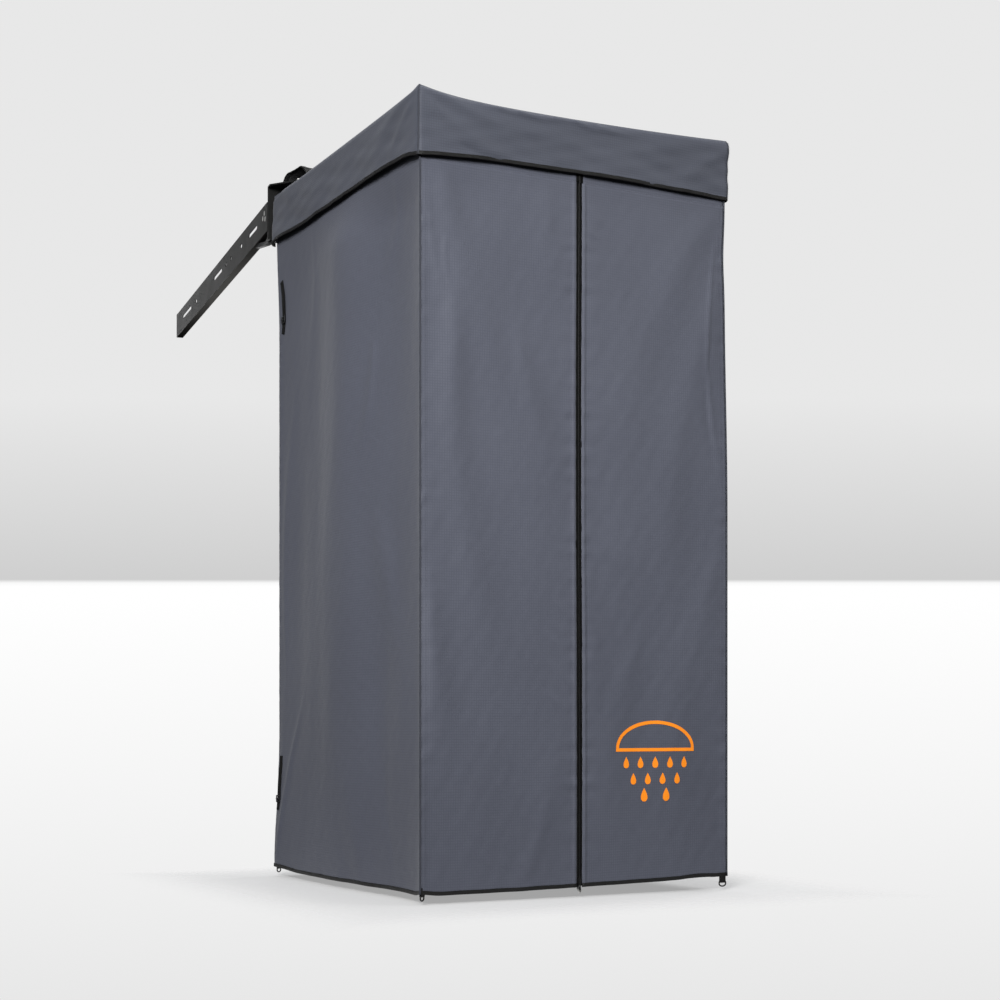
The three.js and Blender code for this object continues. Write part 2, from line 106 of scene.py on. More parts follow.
class Nodes:
    """A short way to write the node tree of a material or a world."""

    def __init__(self, owner):
        self.owner = owner
        owner.use_nodes = True
        self.tree = owner.node_tree
        self.shader = self.tree.nodes.get("Principled BSDF")

    def make(self, kind, inputs=(), **settings):
        node = self.tree.nodes.new(kind)
        for key, value in settings.items():
            setattr(node, key, value)
        for key, value in dict(inputs).items():
            self.put(node.inputs[key], value)
        return node

    def put(self, socket, value):
        if isinstance(value, bpy.types.NodeSocket):
            self.tree.links.new(value, socket)
        else:
            socket.default_value = value

    def math(self, operation, *values):
        return self.make("ShaderNodeMath", enumerate(values), operation=operation).outputs[0]

    def noise(self, vector, scale, detail=3.0, roughness=0.5):
        inputs = {"Vector": vector, "Scale": scale, "Detail": detail, "Roughness": roughness}
        return self.make("ShaderNodeTexNoise", inputs).outputs["Fac"]

    def ramp(self, value, *stops):
        node = self.make("ShaderNodeValToRGB")
        band = node.color_ramp
        while len(band.elements) < len(stops):
            band.elements.new(0.5)
        for element, (place, color) in zip(band.elements, stops):
            element.position = place
            element.color = (*color, 1.0)
        self.put(node.inputs["Fac"], value)
        return node.outputs["Color"]

    def between(self, value, low, high):
        """value, from 0 to 1, spread from low to high."""
        return self.make("ShaderNodeMapRange", {"Value": value, "To Min": low, "To Max": high}).outputs[0]

    def mix(self, share, first, second):
        node = self.make("ShaderNodeMix", data_type="RGBA")
        self.put(node.inputs["Factor"], share)
        self.put(node.inputs["A"], first if isinstance(first, bpy.types.NodeSocket) else (*first, 1.0))
        self.put(node.inputs["B"], second if isinstance(second, bpy.types.NodeSocket) else (*second, 1.0))
        return node.outputs["Result"]

    def bump(self, height, strength, distance, under=None):
        node = self.make("ShaderNodeBump", {"Height": height, "Strength": strength, "Distance": distance})
        if under is not None:
            self.put(node.inputs["Normal"], under)
        return node.outputs[0]

    def set(self, **sockets):
        for key, value in sockets.items():
            self.put(self.shader.inputs[key.replace("_", " ")], value)
        return self.owner


def flat_coordinates(n):
    """The cloth as it was cut, in metres: both coordinates together, then U and V."""
    uv = n.make("ShaderNodeTexCoord").outputs["UV"]
    split = n.make("ShaderNodeSeparateXYZ", {"Vector": uv})
    return uv, split.outputs[0], split.outputs[1]


def solid_coordinates(n):
    return n.make("ShaderNodeTexCoord").outputs["Object"]


def ridge(n, value, period, sharp):
    """1 on lines that come once a period, falling to 0 between them."""
    turned = n.math("MULTIPLY", value, math.pi / period)
    return n.math("POWER", n.math("ABSOLUTE", n.math("COSINE", turned)), sharp)


RIPSTOP_PITCH = 0.0072  # between the thicker threads


def ripstop_grid(n, u, v):
    return n.math("MAXIMUM", ridge(n, u, RIPSTOP_PITCH, 14.0), ridge(n, v, RIPSTOP_PITCH, 14.0))


def ripstop(name, dark, light, rough):
    """Tent cloth: a fine weave with a grid of thicker threads, faintly crumpled and clouded."""
    n = Nodes(bpy.data.materials.new(name))
    uv, u, v = flat_coordinates(n)
    grid = ripstop_grid(n, u, v)
    yarn = n.math("MULTIPLY", ridge(n, u, 0.0012, 1.0), ridge(n, v, 0.0012, 1.0))
    cloudy = n.noise(uv, 2.2, 4.0)
    worn = n.noise(uv, 38.0, 3.0)
    tone = n.ramp(n.math("ADD", n.math("MULTIPLY", cloudy, 0.7), n.math("MULTIPLY", worn, 0.3)),
                  (0.3, dark), (0.7, light))
    lines = n.mix(n.math("MULTIPLY", grid, 0.38), tone, tuple(c * 0.55 for c in dark))
    crumple = n.noise(uv, 26.0, 5.0, 0.62)
    fine = n.bump(crumple, 0.16, 0.004)
    weave = n.bump(n.math("ADD", grid, n.math("MULTIPLY", yarn, 0.3)), 0.35, 0.0006, fine)
    return n.set(Base_Color=lines, Roughness=n.between(worn, rough - 0.05, rough + 0.06), Normal=weave,
                 Sheen_Weight=0.12, Sheen_Roughness=0.45, Specular_IOR_Level=0.38)


def ribbed(name, dark, light, rough, rib, shine=0.2):
    """A woven tape or webbing: ribs across it, and a lighter rubbed face."""
    n = Nodes(bpy.data.materials.new(name))
    uv, u, v = flat_coordinates(n)
    ribs = ridge(n, u, rib, 1.0)
    edges = ridge(n, v, rib * 2.2, 2.0)
    worn = n.noise(uv, 60.0, 4.0)
    tone = n.mix(n.math("MULTIPLY", n.math("ADD", ribs, worn), 0.5), dark, light)
    relief = n.bump(n.math("ADD", ribs, n.math("MULTIPLY", edges, 0.5)), 0.55, 0.0005)
    return n.set(Base_Color=tone, Roughness=n.between(worn, rough - 0.08, rough + 0.08), Normal=relief,
                 Specular_IOR_Level=shine)


def coated(name, dark, light, rough):
    """Coated cloth: an oily skin over a coarse weave, with creases in it, drawn darker in their hollows as
    painted shade.
    """
    n = Nodes(bpy.data.materials.new(name))
    uv, u, v = flat_coordinates(n)
    weave = n.math("MULTIPLY", ridge(n, u, 0.0016, 1.0), ridge(n, v, 0.0016, 1.0))
    creases_and_shade = n.noise(uv, 18.0, 6.0, 0.65)
    # The tone follows the creases: darker where they sink, which is painted shade.
    tone = n.ramp(creases_and_shade, (0.35, dark), (0.7, light))
    relief = n.bump(weave, 0.25, 0.0004, n.bump(creases_and_shade, 0.35, 0.006))
    return n.set(Base_Color=tone, Roughness=n.between(creases_and_shade, rough - 0.08, rough + 0.1), Normal=relief,
                 Specular_IOR_Level=0.3)


def moulded(name, dark, light, rough):
    """Moulded plastic with a fine grain."""
    n = Nodes(bpy.data.materials.new(name))
    place = solid_coordinates(n)
    fine = n.noise(place, 900.0, 3.0)
    broad = n.noise(place, 14.0, 3.0)
    return n.set(Base_Color=n.mix(broad, dark, light), Roughness=n.between(broad, rough - 0.06, rough + 0.08),
                 Normal=n.bump(fine, 0.25, 0.0003), Specular_IOR_Level=0.3)


def edge_wear_and_highlight(n, radius):
    """1 along the outer edges of a part, from how its surface turns."""
    bevel = n.make("ShaderNodeBevel", {"Radius": radius}, samples=4)
    plain = n.make("ShaderNodeNewGeometry").outputs["Normal"]
    same = n.make("ShaderNodeVectorMath", {0: bevel.outputs[0], 1: plain}, operation="DOT_PRODUCT")
    return n.math("SUBTRACT", 1.0, same.outputs["Value"])


def painted(name, dark, light, rough, grain, shine=0.3, bumpy=0.4):
    """Powder coat: an orange-peel skin with dust in it, paler along the edges, which is partly wear and
    partly a painted edge highlight.
    """
    n = Nodes(bpy.data.materials.new(name))
    place = solid_coordinates(n)
    peel = n.noise(place, grain, 2.0)
    dust = n.noise(place, 9.0, 5.0, 0.6)
    # Paler edges: partly rubbed paint, partly a painted highlight where the edges catch the light.
    rub_and_highlight = n.math("MULTIPLY", n.math("MINIMUM", n.math("MULTIPLY", edge_wear_and_highlight(n, 0.0015), 3.0), 1.0),
                 n.noise(place, 70.0, 3.0))
    tone = n.mix(rub_and_highlight, n.mix(dust, dark, light), tuple(min(1.0, c * 3.2) for c in light))
    return n.set(Base_Color=tone, Roughness=n.between(dust, rough - 0.07, rough + 0.1),
                 Normal=n.bump(peel, bumpy, 0.0004), Metallic=0.0, Specular_IOR_Level=shine)


def metal(name, dark, light, rough, stretch):
    """Bare metal with brushed lines; stretch gives the grain's length along each axis."""
    n = Nodes(bpy.data.materials.new(name))
    place = solid_coordinates(n)
    along = n.make("ShaderNodeMapping", {"Vector": place, "Scale": stretch}).outputs[0]
    lines = n.noise(along, 1.0, 4.0)
    spots = n.noise(place, 120.0, 4.0)
    return n.set(Base_Color=n.mix(spots, dark, light), Metallic=1.0,
                 Roughness=n.between(lines, rough - 0.08, rough + 0.12), Normal=n.bump(lines, 0.12, 0.0003))


def printed(name, color):
    """Screen print on the cloth: the weave comes through it, and an orange emission makes the ink glow as
    painted light.
    """
    n = Nodes(bpy.data.materials.new(name))
    uv, u, v = flat_coordinates(n)
    grid = ripstop_grid(n, u, v)
    speck = n.noise(uv, 300.0, 3.0)
    ink = n.mix(speck, color, tuple(c * 0.86 for c in color))
    tone = n.mix(n.math("MULTIPLY", grid, 0.25), ink, (0.45, 0.16, 0.01))
    # The orange emission is painted light: the ink glows though it is no lamp.
    return n.set(Base_Color=tone, Roughness=n.between(speck, 0.45, 0.6), Normal=n.bump(grid, 0.2, 0.0004),
                 Emission_Color=(1.0, 0.2, 0.0, 1.0), Emission_Strength=0.30)


SLATE = ripstop("slate_ripstop", (0.090, 0.0965, 0.127), (0.106, 0.1135, 0.147), 0.62)
# The roof and valance are the walls' slate cloth drawn darker: painted shade.
SHADED_ROOF_SLATE = ripstop("roof_ripstop_shaded", (0.068, 0.074, 0.097), (0.080, 0.087, 0.113), 0.62)
# Seams and corner piping: the slate cloth drawn darker, so that they read as dark groove lines: painted
# shade.
SHADED_SEAM = ribbed("seam_cloth_shaded", (0.040, 0.043, 0.055), (0.056, 0.060, 0.074), 0.7, 0.0016)
TAPE = ribbed("binding_tape", (0.003, 0.003, 0.003), (0.013, 0.0125, 0.012), 0.45, 0.0022, 0.25)
WEBBING = ribbed("webbing", (0.003, 0.003, 0.003), (0.009, 0.009, 0.0085), 0.7, 0.0016)
ZIP_TAPE = ribbed("zip_tape", (0.0025, 0.0025, 0.0025), (0.006, 0.006, 0.006), 0.75, 0.001, 0.1)
COVER = coated("cover_cloth", (0.008, 0.008, 0.008), (0.020, 0.020, 0.020), 0.5)
THREAD = ribbed("thread", (0.055, 0.059, 0.075), (0.100, 0.107, 0.135), 0.6, 0.0008)
DARK_THREAD = ribbed("dark_thread", (0.010, 0.010, 0.010), (0.034, 0.034, 0.034), 0.55, 0.0008)
PLASTIC = moulded("black_plastic", (0.004, 0.004, 0.004), (0.010, 0.010, 0.010), 0.4)
STEEL = painted("black_steel", (0.004, 0.004, 0.004), (0.010, 0.010, 0.0095), 0.42, 420.0)
CHANNEL = painted("channel_paint", (0.0085, 0.0082, 0.0075), (0.0155, 0.0148, 0.0138), 0.5, 300.0,
                  shine=0.14, bumpy=0.1)
ZINC = metal("zinc_steel", (0.42, 0.41, 0.39), (0.62, 0.61, 0.58), 0.34, (160.0, 160.0, 600.0))
ALUMINIUM = metal("arm_aluminium", (0.36, 0.37, 0.38), (0.5, 0.51, 0.52), 0.36, (260.0, 260.0, 12.0))
# The print's ink carries a painted glow.
GLOWING_PRINT = printed("orange_print_glowing", (0.95, 0.30, 0.013))

# ---- mesh helpers ----


def distances(rows):
    """How far along a path each of its points lies."""
    return np.concatenate([[0.0], np.cumsum(np.linalg.norm(np.diff(rows, axis=0), axis=1))])


def read_off(where, along, rows):
    """A point of a path at each of the distances in where."""
    return np.stack([np.interp(where, along, rows[:, k]) for k in range(rows.shape[1])], axis=-1)


def unit(rows):
    return rows / np.linalg.norm(rows, axis=1)[:, None]


def mesh_object(name, points, faces, material, uvs, smooth=True):
    """A mesh from points in the tent's frame, with its cloth coordinates given for each point."""
    mesh = bpy.data.meshes.new(name)
    mesh.from_pydata((np.asarray(points, float).reshape(-1, 3) + FOOT).tolist(), [], [list(f) for f in faces])
    layer = mesh.uv_layers.new(name="flat")
    corner = np.zeros(len(mesh.loops), np.int32)
    mesh.loops.foreach_get("vertex_index", corner)
    layer.data.foreach_set("uv", np.asarray(uvs, np.float32).reshape(-1, 2)[corner].ravel())
    mesh.materials.append(material)
    mesh.polygons.foreach_set("use_smooth", [smooth] * len(mesh.polygons))
    mesh.update()
    return placed(name, mesh)


def grid_faces(rows, columns, keep=None, turn=False, closed=False):
    """Quads over a grid of points laid out row by row; keep says which quads stay."""
    j, i = np.meshgrid(np.arange(rows - 1), np.arange(columns if closed else columns - 1), indexing="ij")
    k = (i + 1) % columns
    here, above = j * columns, (j + 1) * columns
    quads = np.stack([here + i, here + k, above + k, above + i], axis=-1)
    quads = quads[keep] if keep is not None else quads.reshape(-1, 4)
    return quads[:, ::-1] if turn else quads


CLOTH_THICK = 0.0007


def thicken(piece, thick=CLOTH_THICK):
    """Gives a sheet its thickness, on the side away from its normals."""
    solid = piece.modifiers.new("thick", "SOLIDIFY")
    solid.thickness = thick
    solid.offset = -1.0
    return piece


def soften(piece, width):
    """Rounds the hard edges of a made part."""
    bevel = piece.modifiers.new("edges", "BEVEL")
    bevel.width = width
    bevel.segments = 2
    bevel.limit_method = "ANGLE"
    bevel.angle_limit = math.radians(35.0)
    return piece


def smooth(value, start, end):
    """0 before start, 1 after end, and an easy slope between."""
    t = np.clip((np.asarray(value, float) - start) / (end - start), 0.0, 1.0)
    return t * t * (3.0 - 2.0 * t)


def falling(value, start, end):
    """1 before start, 0 after end, and an easy slope between."""
    return 1.0 - smooth(value, start, end)


def bell(value, width):
    """1 at zero, dying out on both sides of it."""
    return np.exp(-((value / width) ** 2))


def held(distance, reach):
    """0 on a seam that holds the cloth, rising to 1 away from it."""
    return 1.0 - bell(distance, reach)


def waves(a, b, seed, count, short, far, tall):
    """Soft seeded ripples: sines from short to far long across a, and about tall times that along b."""
    random = np.random.default_rng(seed)
    total = np.zeros(np.broadcast(a, b).shape)
    for _ in range(count):
        length = random.uniform(short, far)
        lean = random.normal(0.0, 1.0) / tall
        shift = random.uniform(0.0, 2.0 * math.pi)
        total += length / far * np.sin(2.0 * math.pi * (a + lean * b) / length + shift)
    return total / math.sqrt(count)


def crease(a, b, line):
    """A pulled fold from one point to another: sharp where it starts, and wider and softer as it runs out."""
    a0, b0, a1, b1, width, height = line
    reach = math.hypot(a1 - a0, b1 - b0)
    along = ((a - a0) * (a1 - a0) + (b - b0) * (b1 - b0)) / reach**2
    bow = 0.06 * reach * np.sin(np.clip(along, 0.0, 1.0) * math.pi)
    away = ((a - a0) * (b1 - b0) - (b - b0) * (a1 - a0)) / reach - bow
    wide = width * (0.55 + 0.9 * np.clip(along, 0.0, 1.2))
    sharp = np.exp(-np.sqrt((away / wide) ** 2 + 0.05) * 1.6) / math.exp(-math.sqrt(0.05) * 1.6)
    keen = min(1.0, 0.015 / width) * 0.6
    shape = keen * sharp + (1.0 - keen) * bell(away, wide)
    return height * shape * smooth(along, -0.12, 0.16) * falling(along, 0.6, 1.12)


def creases(a, b, lines):
    """Several pulled folds together."""
    return sum(crease(a, b, line) for line in lines)


def attach(piece, body, slot, *replaced):
    """What every piece has: its body and the CAD nodes that it stands in for. Its slot is not used."""
    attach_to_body(piece, body)
    if replaced:
        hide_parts(*replaced)
    return piece


def hang(piece, body, slot, *replaced):
    """A soft piece of the tent, on its body with a mesh of its own."""
    attach(piece, body, slot, *replaced)
    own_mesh(piece)
    return piece


def sweep(name, centre, out, up, profile, material, closed_path=False):
    """Carries a closed outline, profile, along a path. Its first number goes out and its second goes up."""
    centre, profile = np.asarray(centre, float), np.asarray(profile, float)
    out, up = (np.broadcast_to(way, centre.shape) for way in (out, up))
    points = centre[:, None] + profile[None, :, :1] * out[:, None] + profile[None, :, 1:] * up[:, None]
    uv = np.stack(np.broadcast_arrays(distances(centre)[:, None], distances(profile)[None, :]), axis=-1)
    count = len(profile)
    faces = [tuple(f) for f in grid_faces(len(centre), count, closed=True)]
    if closed_path:
        last = (len(centre) - 1) * count
        faces += [(last + i, last + (i + 1) % count, (i + 1) % count, i) for i in range(count)]
    else:
        faces += [tuple(range(count)), tuple(range((len(centre) - 1) * count, len(centre) * count))[::-1]]
    return outwards(mesh_object(name, points, faces, material, uv))


def reworked(piece, change):
    """A piece whose mesh has had a change made to it."""
    made = bmesh.new()
    made.from_mesh(piece.data)
    change(made)
    made.to_mesh(piece.data)
    made.free()
    return piece


def weld(piece):
    """Joins the points of a mesh that lie on each other."""
    return reworked(piece, lambda made: bmesh.ops.remove_doubles(made, verts=made.verts, dist=0.0002))


def outwards(piece):
    """Turns a closed mesh's faces outwards."""
    return reworked(piece, lambda made: bmesh.ops.recalc_face_normals(made, faces=made.faces))


def rounded(width, height, radius, steps=3):
    """A rounded rectangle about zero, as outline points."""
    points = []
    for corner, (right, up) in enumerate(((1, 1), (-1, 1), (-1, -1), (1, -1))):
        x, y = (width / 2 - radius) * right, (height / 2 - radius) * up
        for k in range(steps + 1):
            angle = (corner + k / steps) * math.pi / 2
            points.append((x + radius * math.cos(angle), y + radius * math.sin(angle)))
    return points


def circle(radius, count):
    """A round outline about zero."""
    turns = np.linspace(0.0, 2.0 * math.pi, count, endpoint=False)
    return [(radius * math.cos(turn), radius * math.sin(turn)) for turn in turns]


STITCH, STITCH_PITCH = 0.0028, 0.0042
THREAD_HALF = 0.00025  # half a thread's thickness


def stitches(name, path, out, material):
    """A row of thread dashes along a path, standing off the cloth, with their ends sunk into it."""
    path = np.asarray(path, float)
    along = distances(path)
    starts = np.arange(STITCH_PITCH / 2, along[-1] - STITCH, STITCH_PITCH)
    first, last = read_off(starts, along, path), read_off(starts + STITCH, along, path)
    lead = read_off(starts + STITCH / 2, along, np.broadcast_to(out, path.shape))
    run = unit(last - first)
    side = unit(np.cross(run, lead)) * THREAD_HALF
    bend = run * STITCH * 0.22
    corners = []
    for base, sink in ((first, -0.6), (first + bend, 1.0), (last - bend, 1.0), (last, -0.6)):
        top = base + lead * (0.0002 + THREAD_HALF * sink)
        corners += [top + side, top + lead * THREAD_HALF, top - side]
    points = np.stack(corners, axis=1)
    faces = []
    for k in range(len(starts)):
        for ring in range(3):
            a = 12 * k + 3 * ring
            faces += [(a, a + 3, a + 4, a + 1), (a + 1, a + 4, a + 5, a + 2)]
    uv = np.zeros((len(starts) * 12, 2))
    uv[:, 0] = np.repeat(starts, 12) + np.tile(np.repeat([0.0, 0.0006, 0.0022, 0.0028], 3), len(starts))
    return mesh_object(name, points, faces, material, uv)


def joined(name, pieces):
    """Several meshes of one material made into one."""
    with bpy.context.temp_override(active_object=pieces[0], selected_editable_objects=pieces):
        bpy.ops.object.join()
    pieces[0].name = name
    pieces[0].data.name = name
    return pieces[0]


# ---- the tent's shape: where its edges run, and how its cloth stands off them ----
UP = np.array([0.0, 0.0, 1.0])
FRONT = np.array([0.0, -1.0, 0.0])
ACROSS = np.array([1.0, 0.0, 0.0])
HEM_DROP = 0.005  # the hem hangs this much below the tent's zero
FRONT_RISE = 0.012  # the front hem climbs this much towards the right
HEM_TALL = 0.0115
BINDING_TALL = 0.0112
VALANCE_CUT = 0.19  # the valance's depth, as it was cut


FINE_STEP = 0.0005


def rounded_path(corners, radius, step):
    """An outline with its corners eased: each point's distance along, the point, and the way ahead."""
    corners = np.asarray(corners, float)
    marks = distances(corners)
    fine = np.linspace(-radius, marks[-1] + radius, int((marks[-1] + 2 * radius) / FINE_STEP))
    # Both ends run on straight, so that the easing leaves them where they are.
    ends = np.array([2 * corners[0] - corners[1], *corners[1:-1], 2 * corners[-1] - corners[-2]])
    spots = np.concatenate([[2 * marks[0] - marks[1]], marks[1:-1], [2 * marks[-1] - marks[-2]]])
    total = np.cumsum(np.vstack([np.zeros((1, 2)), read_off(fine, spots, ends)]), axis=0)
    half = max(1, int(2 * radius / FINE_STEP)) // 2
    index = np.arange(len(fine))
    low, high = np.maximum(index - half, 0), np.minimum(index + half + 1, len(fine))
    eased = (total[high] - total[low]) / (high - low)[:, None]
    stations = np.linspace(0.0, marks[-1], int(marks[-1] / step) + 1)
    way = unit(read_off(stations, fine, unit(np.gradient(eased, axis=0))))
    return stations, read_off(stations, fine, eased), way


def front_edge_sag(x):
    """How far the roof's front edge dips: steeply from its left corner, and gently up to the right one."""
    u = np.clip(x / WIDTH, 0.0, 1.0)
    return 0.0295 * (1.0 - np.exp(-u / 0.11)) * (1.0 - np.exp(-(1.0 - u) / 0.5))


def side_edge_sag(u, depth):
    """A hung edge between two props."""
    return depth * (1.0 - np.exp(-u / 0.12)) * (1.0 - np.exp(-(1.0 - u) / 0.12))


def valance_low(x, y):
    """Height of the valance's lower edge above the ground, by where it runs."""
    left = 0.019 - 0.023 * np.exp(-y / 0.10) + 0.012 * smooth(y, 0.85, 1.12)
    front = 0.016 - 0.020 * np.exp(-x / 0.2) - 0.006 * smooth(x, 0.72, 1.0)
    right = 0.010 + 0.006 * np.sin(y * 3.0)
    rear = 0.012 + 0.005 * np.sin(x * 4.0)
    to_left, to_front = bell(x + PROUD, 0.02), bell(y + PROUD, 0.02)
    to_right, to_rear = bell(x - WIDTH - PROUD, 0.02), bell(y - DEPTH - PROUD, 0.02)
    weight = to_left + to_front + to_right + to_rear + 1e-9
    lift = left * to_left + front * to_front + right * to_right + rear * to_rear
    return TOP - VALANCE_CUT + lift / weight


def corner_lean(z):
    """How far the back-left and front-right corner edges wander from plumb, in X."""
    rear_left = 0.010 * smooth(z, 0.05, 0.45) - 0.007 * falling(z, 0.0, 0.3) - 0.008 * smooth(z, 1.75, 2.05)
    front_right = 0.010 * falling(z, 1.1, 1.75) - 0.005 * bell(z - 1.85, 0.09)
    return rear_left, front_right


# Pulled folds in the cloth: where each starts and ends (across and up), its width, and how far it stands out.
LEFT_FOLDS = [
    (0.560, 2.20, 0.780, -0.10, 0.270, 0.0360),
    (0.300, 1.05, 0.180, 0.03, 0.080, 0.0070),
    (0.330, 1.56, 0.410, 1.24, 0.026, 0.0042),
    (1.090, 0.03, 0.850, 0.56, 0.016, 0.0050),
    (1.040, 0.62, 0.930, 1.66, 0.026, 0.0030),
    (0.180, 2.02, 0.300, 1.70, 0.026, 0.0026),
    (0.440, 0.02, 0.520, 0.85, 0.090, 0.0060),
    (0.230, 0.05, 0.270, 0.80, 0.060, -0.0035),
    (0.800, 2.02, 0.840, 1.60, 0.024, 0.0024),
]
FRONT_FOLDS = [
    (0.060, 2.02, 0.330, 1.30, 0.062, 0.0095),
    (0.105, 1.66, 0.290, 0.46, 0.062, 0.0115),
    (0.010, 0.86, 0.210, 0.16, 0.060, 0.0085),
    (0.018, 1.97, 0.100, 1.58, 0.017, 0.0028),
    (0.075, 1.80, 0.100, 1.62, 0.010, 0.0024),
    (0.490, 0.640, 0.410, 0.760, 0.010, 0.0025),
    (0.490, 0.580, 0.390, 0.730, 0.012, 0.0030),
    (0.490, 0.505, 0.400, 0.640, 0.010, 0.0025),
    (0.489, 0.440, 0.385, 0.560, 0.012, 0.0027),
    (0.489, 0.720, 0.420, 0.810, 0.010, 0.0021),
    (0.489, 0.830, 0.425, 0.920, 0.010, 0.0015),
    (0.400, 1.99, 0.440, 1.66, 0.045, 0.0034),
    (0.300, 1.56, 0.490, 1.08, 0.044, 0.0056),
    (0.320, 0.03, 0.410, 0.40, 0.036, 0.0030),
    (0.975, 2.02, 0.600, 1.10, 0.075, 0.0060),
    (0.990, 1.80, 0.790, 0.60, 0.060, 0.0042),
    (0.540, 2.00, 0.530, 1.55, 0.036, 0.0030),
    (0.512, 1.06, 0.660, 0.90, 0.034, 0.0026),
    (0.530, 0.90, 0.560, 0.50, 0.040, 0.0034),
    (0.690, 0.70, 0.600, 0.02, 0.062, 0.0044),
    (0.980, 0.98, 0.820, 0.12, 0.062, 0.0036),
    (0.968, 1.86, 0.978, 1.22, 0.0080, 0.0045),
    (0.950, 1.60, 0.962, 1.20, 0.010, -0.0024),
    (0.515, 1.955, 0.590, 1.890, 0.012, 0.0024),
    (0.512, 1.880, 0.580, 1.850, 0.010, 0.0021),
]


def top_calm(z, start, end):
    """The cloth is drawn flat near the roof."""
    return 1.0 - 0.92 * smooth(z, start, end)


def puckers(along, distance, seed, pitch=0.045, reach=0.022, height=0.0011):
    """Short gathers beside a seam, dying out away from it."""
    rows = waves(along, distance * 0.0, seed, 7, pitch * 0.6, pitch * 1.6, 50.0)
    return height * rows * np.exp(-distance / reach) * held(distance, 0.003)


def side_wall_out(s, z, lines, seed):
    """How far a side wall's cloth stands out at s along it from its front corner."""
    ends = np.minimum(s, DEPTH - s)
    body = creases(s, z, lines) + 0.0030 * waves(s, z, seed, 9, 0.16, 0.55, 4.0)
    hollow = -0.029 * (1.0 - np.exp(-s / 0.072)) * (1.0 - 0.7 * smooth(s, 0.18, 0.60))
    hollow = hollow * smooth(DEPTH - s, 0.0, 0.2)
    top = top_calm(z, 1.88, 2.04)
    fine = 0.0003 * waves(s, z, seed + 2, 8, 0.04, 0.09, 1.5)
    return (body * held(ends, 0.030) + hollow) * top + puckers(z, ends, seed + 1) + fine * top


def rear_wall_out(x, z):
    """How far the rear wall's cloth stands out."""
    ends = np.minimum(x, WIDTH - x)
    body = 0.0032 * waves(x, z, 31, 9, 0.10, 0.40, 7.0) - 0.003 * np.sin(math.pi * x / WIDTH)
    top = top_calm(z, 1.88, 2.04)
    return body * held(ends, 0.030) * top + puckers(z, ends, 33)


def front_out(x, z):
    """How far the front wall's cloth stands out, with the flap folds that lie along both sides of the zip."""
    zip_away = np.abs(x - ZIP_X)
    ends = np.minimum(x, WIDTH - x)
    body = creases(x, z, FRONT_FOLDS) + 0.0022 * waves(x, z, 21, 9, 0.12, 0.45, 3.0)
    body = body - 0.0040 * smooth(x, 0.01, 0.12) * falling(x, 0.12, 0.4)
    top = top_calm(z, 1.90, 2.03)
    calm = held(ends, 0.022) * (1.0 - 0.75 * bell(zip_away - 0.012, 0.03))
    flap = 0.0026 * bell(zip_away - 0.0165, 0.0055)
    seam = 0.0004 * bell(ends - 0.013, 0.0028)
    fine = 0.0004 * waves(x, z, 22, 9, 0.03, 0.08, 1.5)
    gathers = puckers(z, np.abs(zip_away - 0.024) + 0.002, 23, 0.055, 0.020, 0.0016) + puckers(z, ends, 24)
    return body * calm * top + flap + seam + (fine + gathers) * top


# ---- walls: one sheet from the front-left corner round the back to the front-right corner ----
CLOTH_STEP = 0.0085
HEM_ROWS = 0.05  # the rows lie closer together up to this height
CORNERS = [(0.0005, -0.001), (0.0005, DEPTH), (WIDTH, DEPTH), (WIDTH, -0.001)]
stations, plan, heading = rounded_path(CORNERS, 0.006, CLOTH_STEP)
outward = np.stack([-heading[:, 1], heading[:, 0]], axis=1)
upper_rows = np.linspace(HEM_ROWS, WALL_TOP, int((WALL_TOP - HEM_ROWS) / CLOTH_STEP))
levels = np.concatenate([np.linspace(0.0, HEM_ROWS, 8)[:-1], upper_rows])
RIGHT_FOLDS = [(*line[:5], line[5] * 0.8) for line in LEFT_FOLDS[::2]]
TUCK = 0.016  # the walls' tops are drawn in this far below the roof


def hung_height(x, z):
    """The height of a point z up the cloth: the hem hangs below zero, and climbs towards the right."""
    return z - HEM_DROP * falling(z, 0.0, 0.3) + FRONT_RISE * smooth(x, 0.1, WIDTH) * falling(z, 0.0, 0.5)


def wall_point(s, z):
    """Where the wall's cloth is, s along its sheet and z up it."""
    base, away = read_off(s, stations, plan), read_off(s, stations, outward)
    left, rear = s < DEPTH, (s >= DEPTH) & (s < DEPTH + WIDTH)
    right_out = side_wall_out(2 * DEPTH + WIDTH - s, z, RIGHT_FOLDS, 51)
    out = np.where(rear, rear_wall_out(s - DEPTH, z), right_out)
    out = np.where(left, side_wall_out(s, z, LEFT_FOLDS, 11), out)
    x, y = base[..., 0] + away[..., 0] * out, base[..., 1] + away[..., 1] * out
    rear_left, front_right = corner_lean(z)
    near_rear_left = smooth(y, DEPTH * 0.35, DEPTH) * falling(x, 0.0, WIDTH * 0.7)
    near_front_right = smooth(x, WIDTH * 0.5, WIDTH) * falling(y, 0.0, DEPTH * 0.6)
    x = x + rear_left * near_rear_left + front_right * near_front_right
    tuck = TUCK * smooth(z, 2.06, WALL_TOP)
    belly = 0.0075 * smooth(s, 0.0, 0.08) * smooth(DEPTH - s, 0.0, 0.25) * falling(z, 0.0, 0.4)
    return np.stack([x, y, hung_height(x, z) - tuck - belly], axis=-1)


s_grid, z_grid = np.meshgrid(stations, levels)
wall = wall_point(s_grid, z_grid)
middle = (wall[:-1, :-1] + wall[1:, 1:]) / 2
through = (middle[..., 0] < NOTCH_X) & (middle[..., 1] > DEPTH - 0.006) & (middle[..., 2] > NOTCH_Z)
wall_faces = grid_faces(len(levels), len(stations), ~through, turn=True)
walls = thicken(mesh_object("tent_walls", wall, wall_faces, SLATE, np.stack([s_grid, z_grid], axis=-1)))
hang(walls, "canopy", "slate_cloth", "wall_left", "wall_right", "wall_rear")

# ---- front: two doors under a header ----


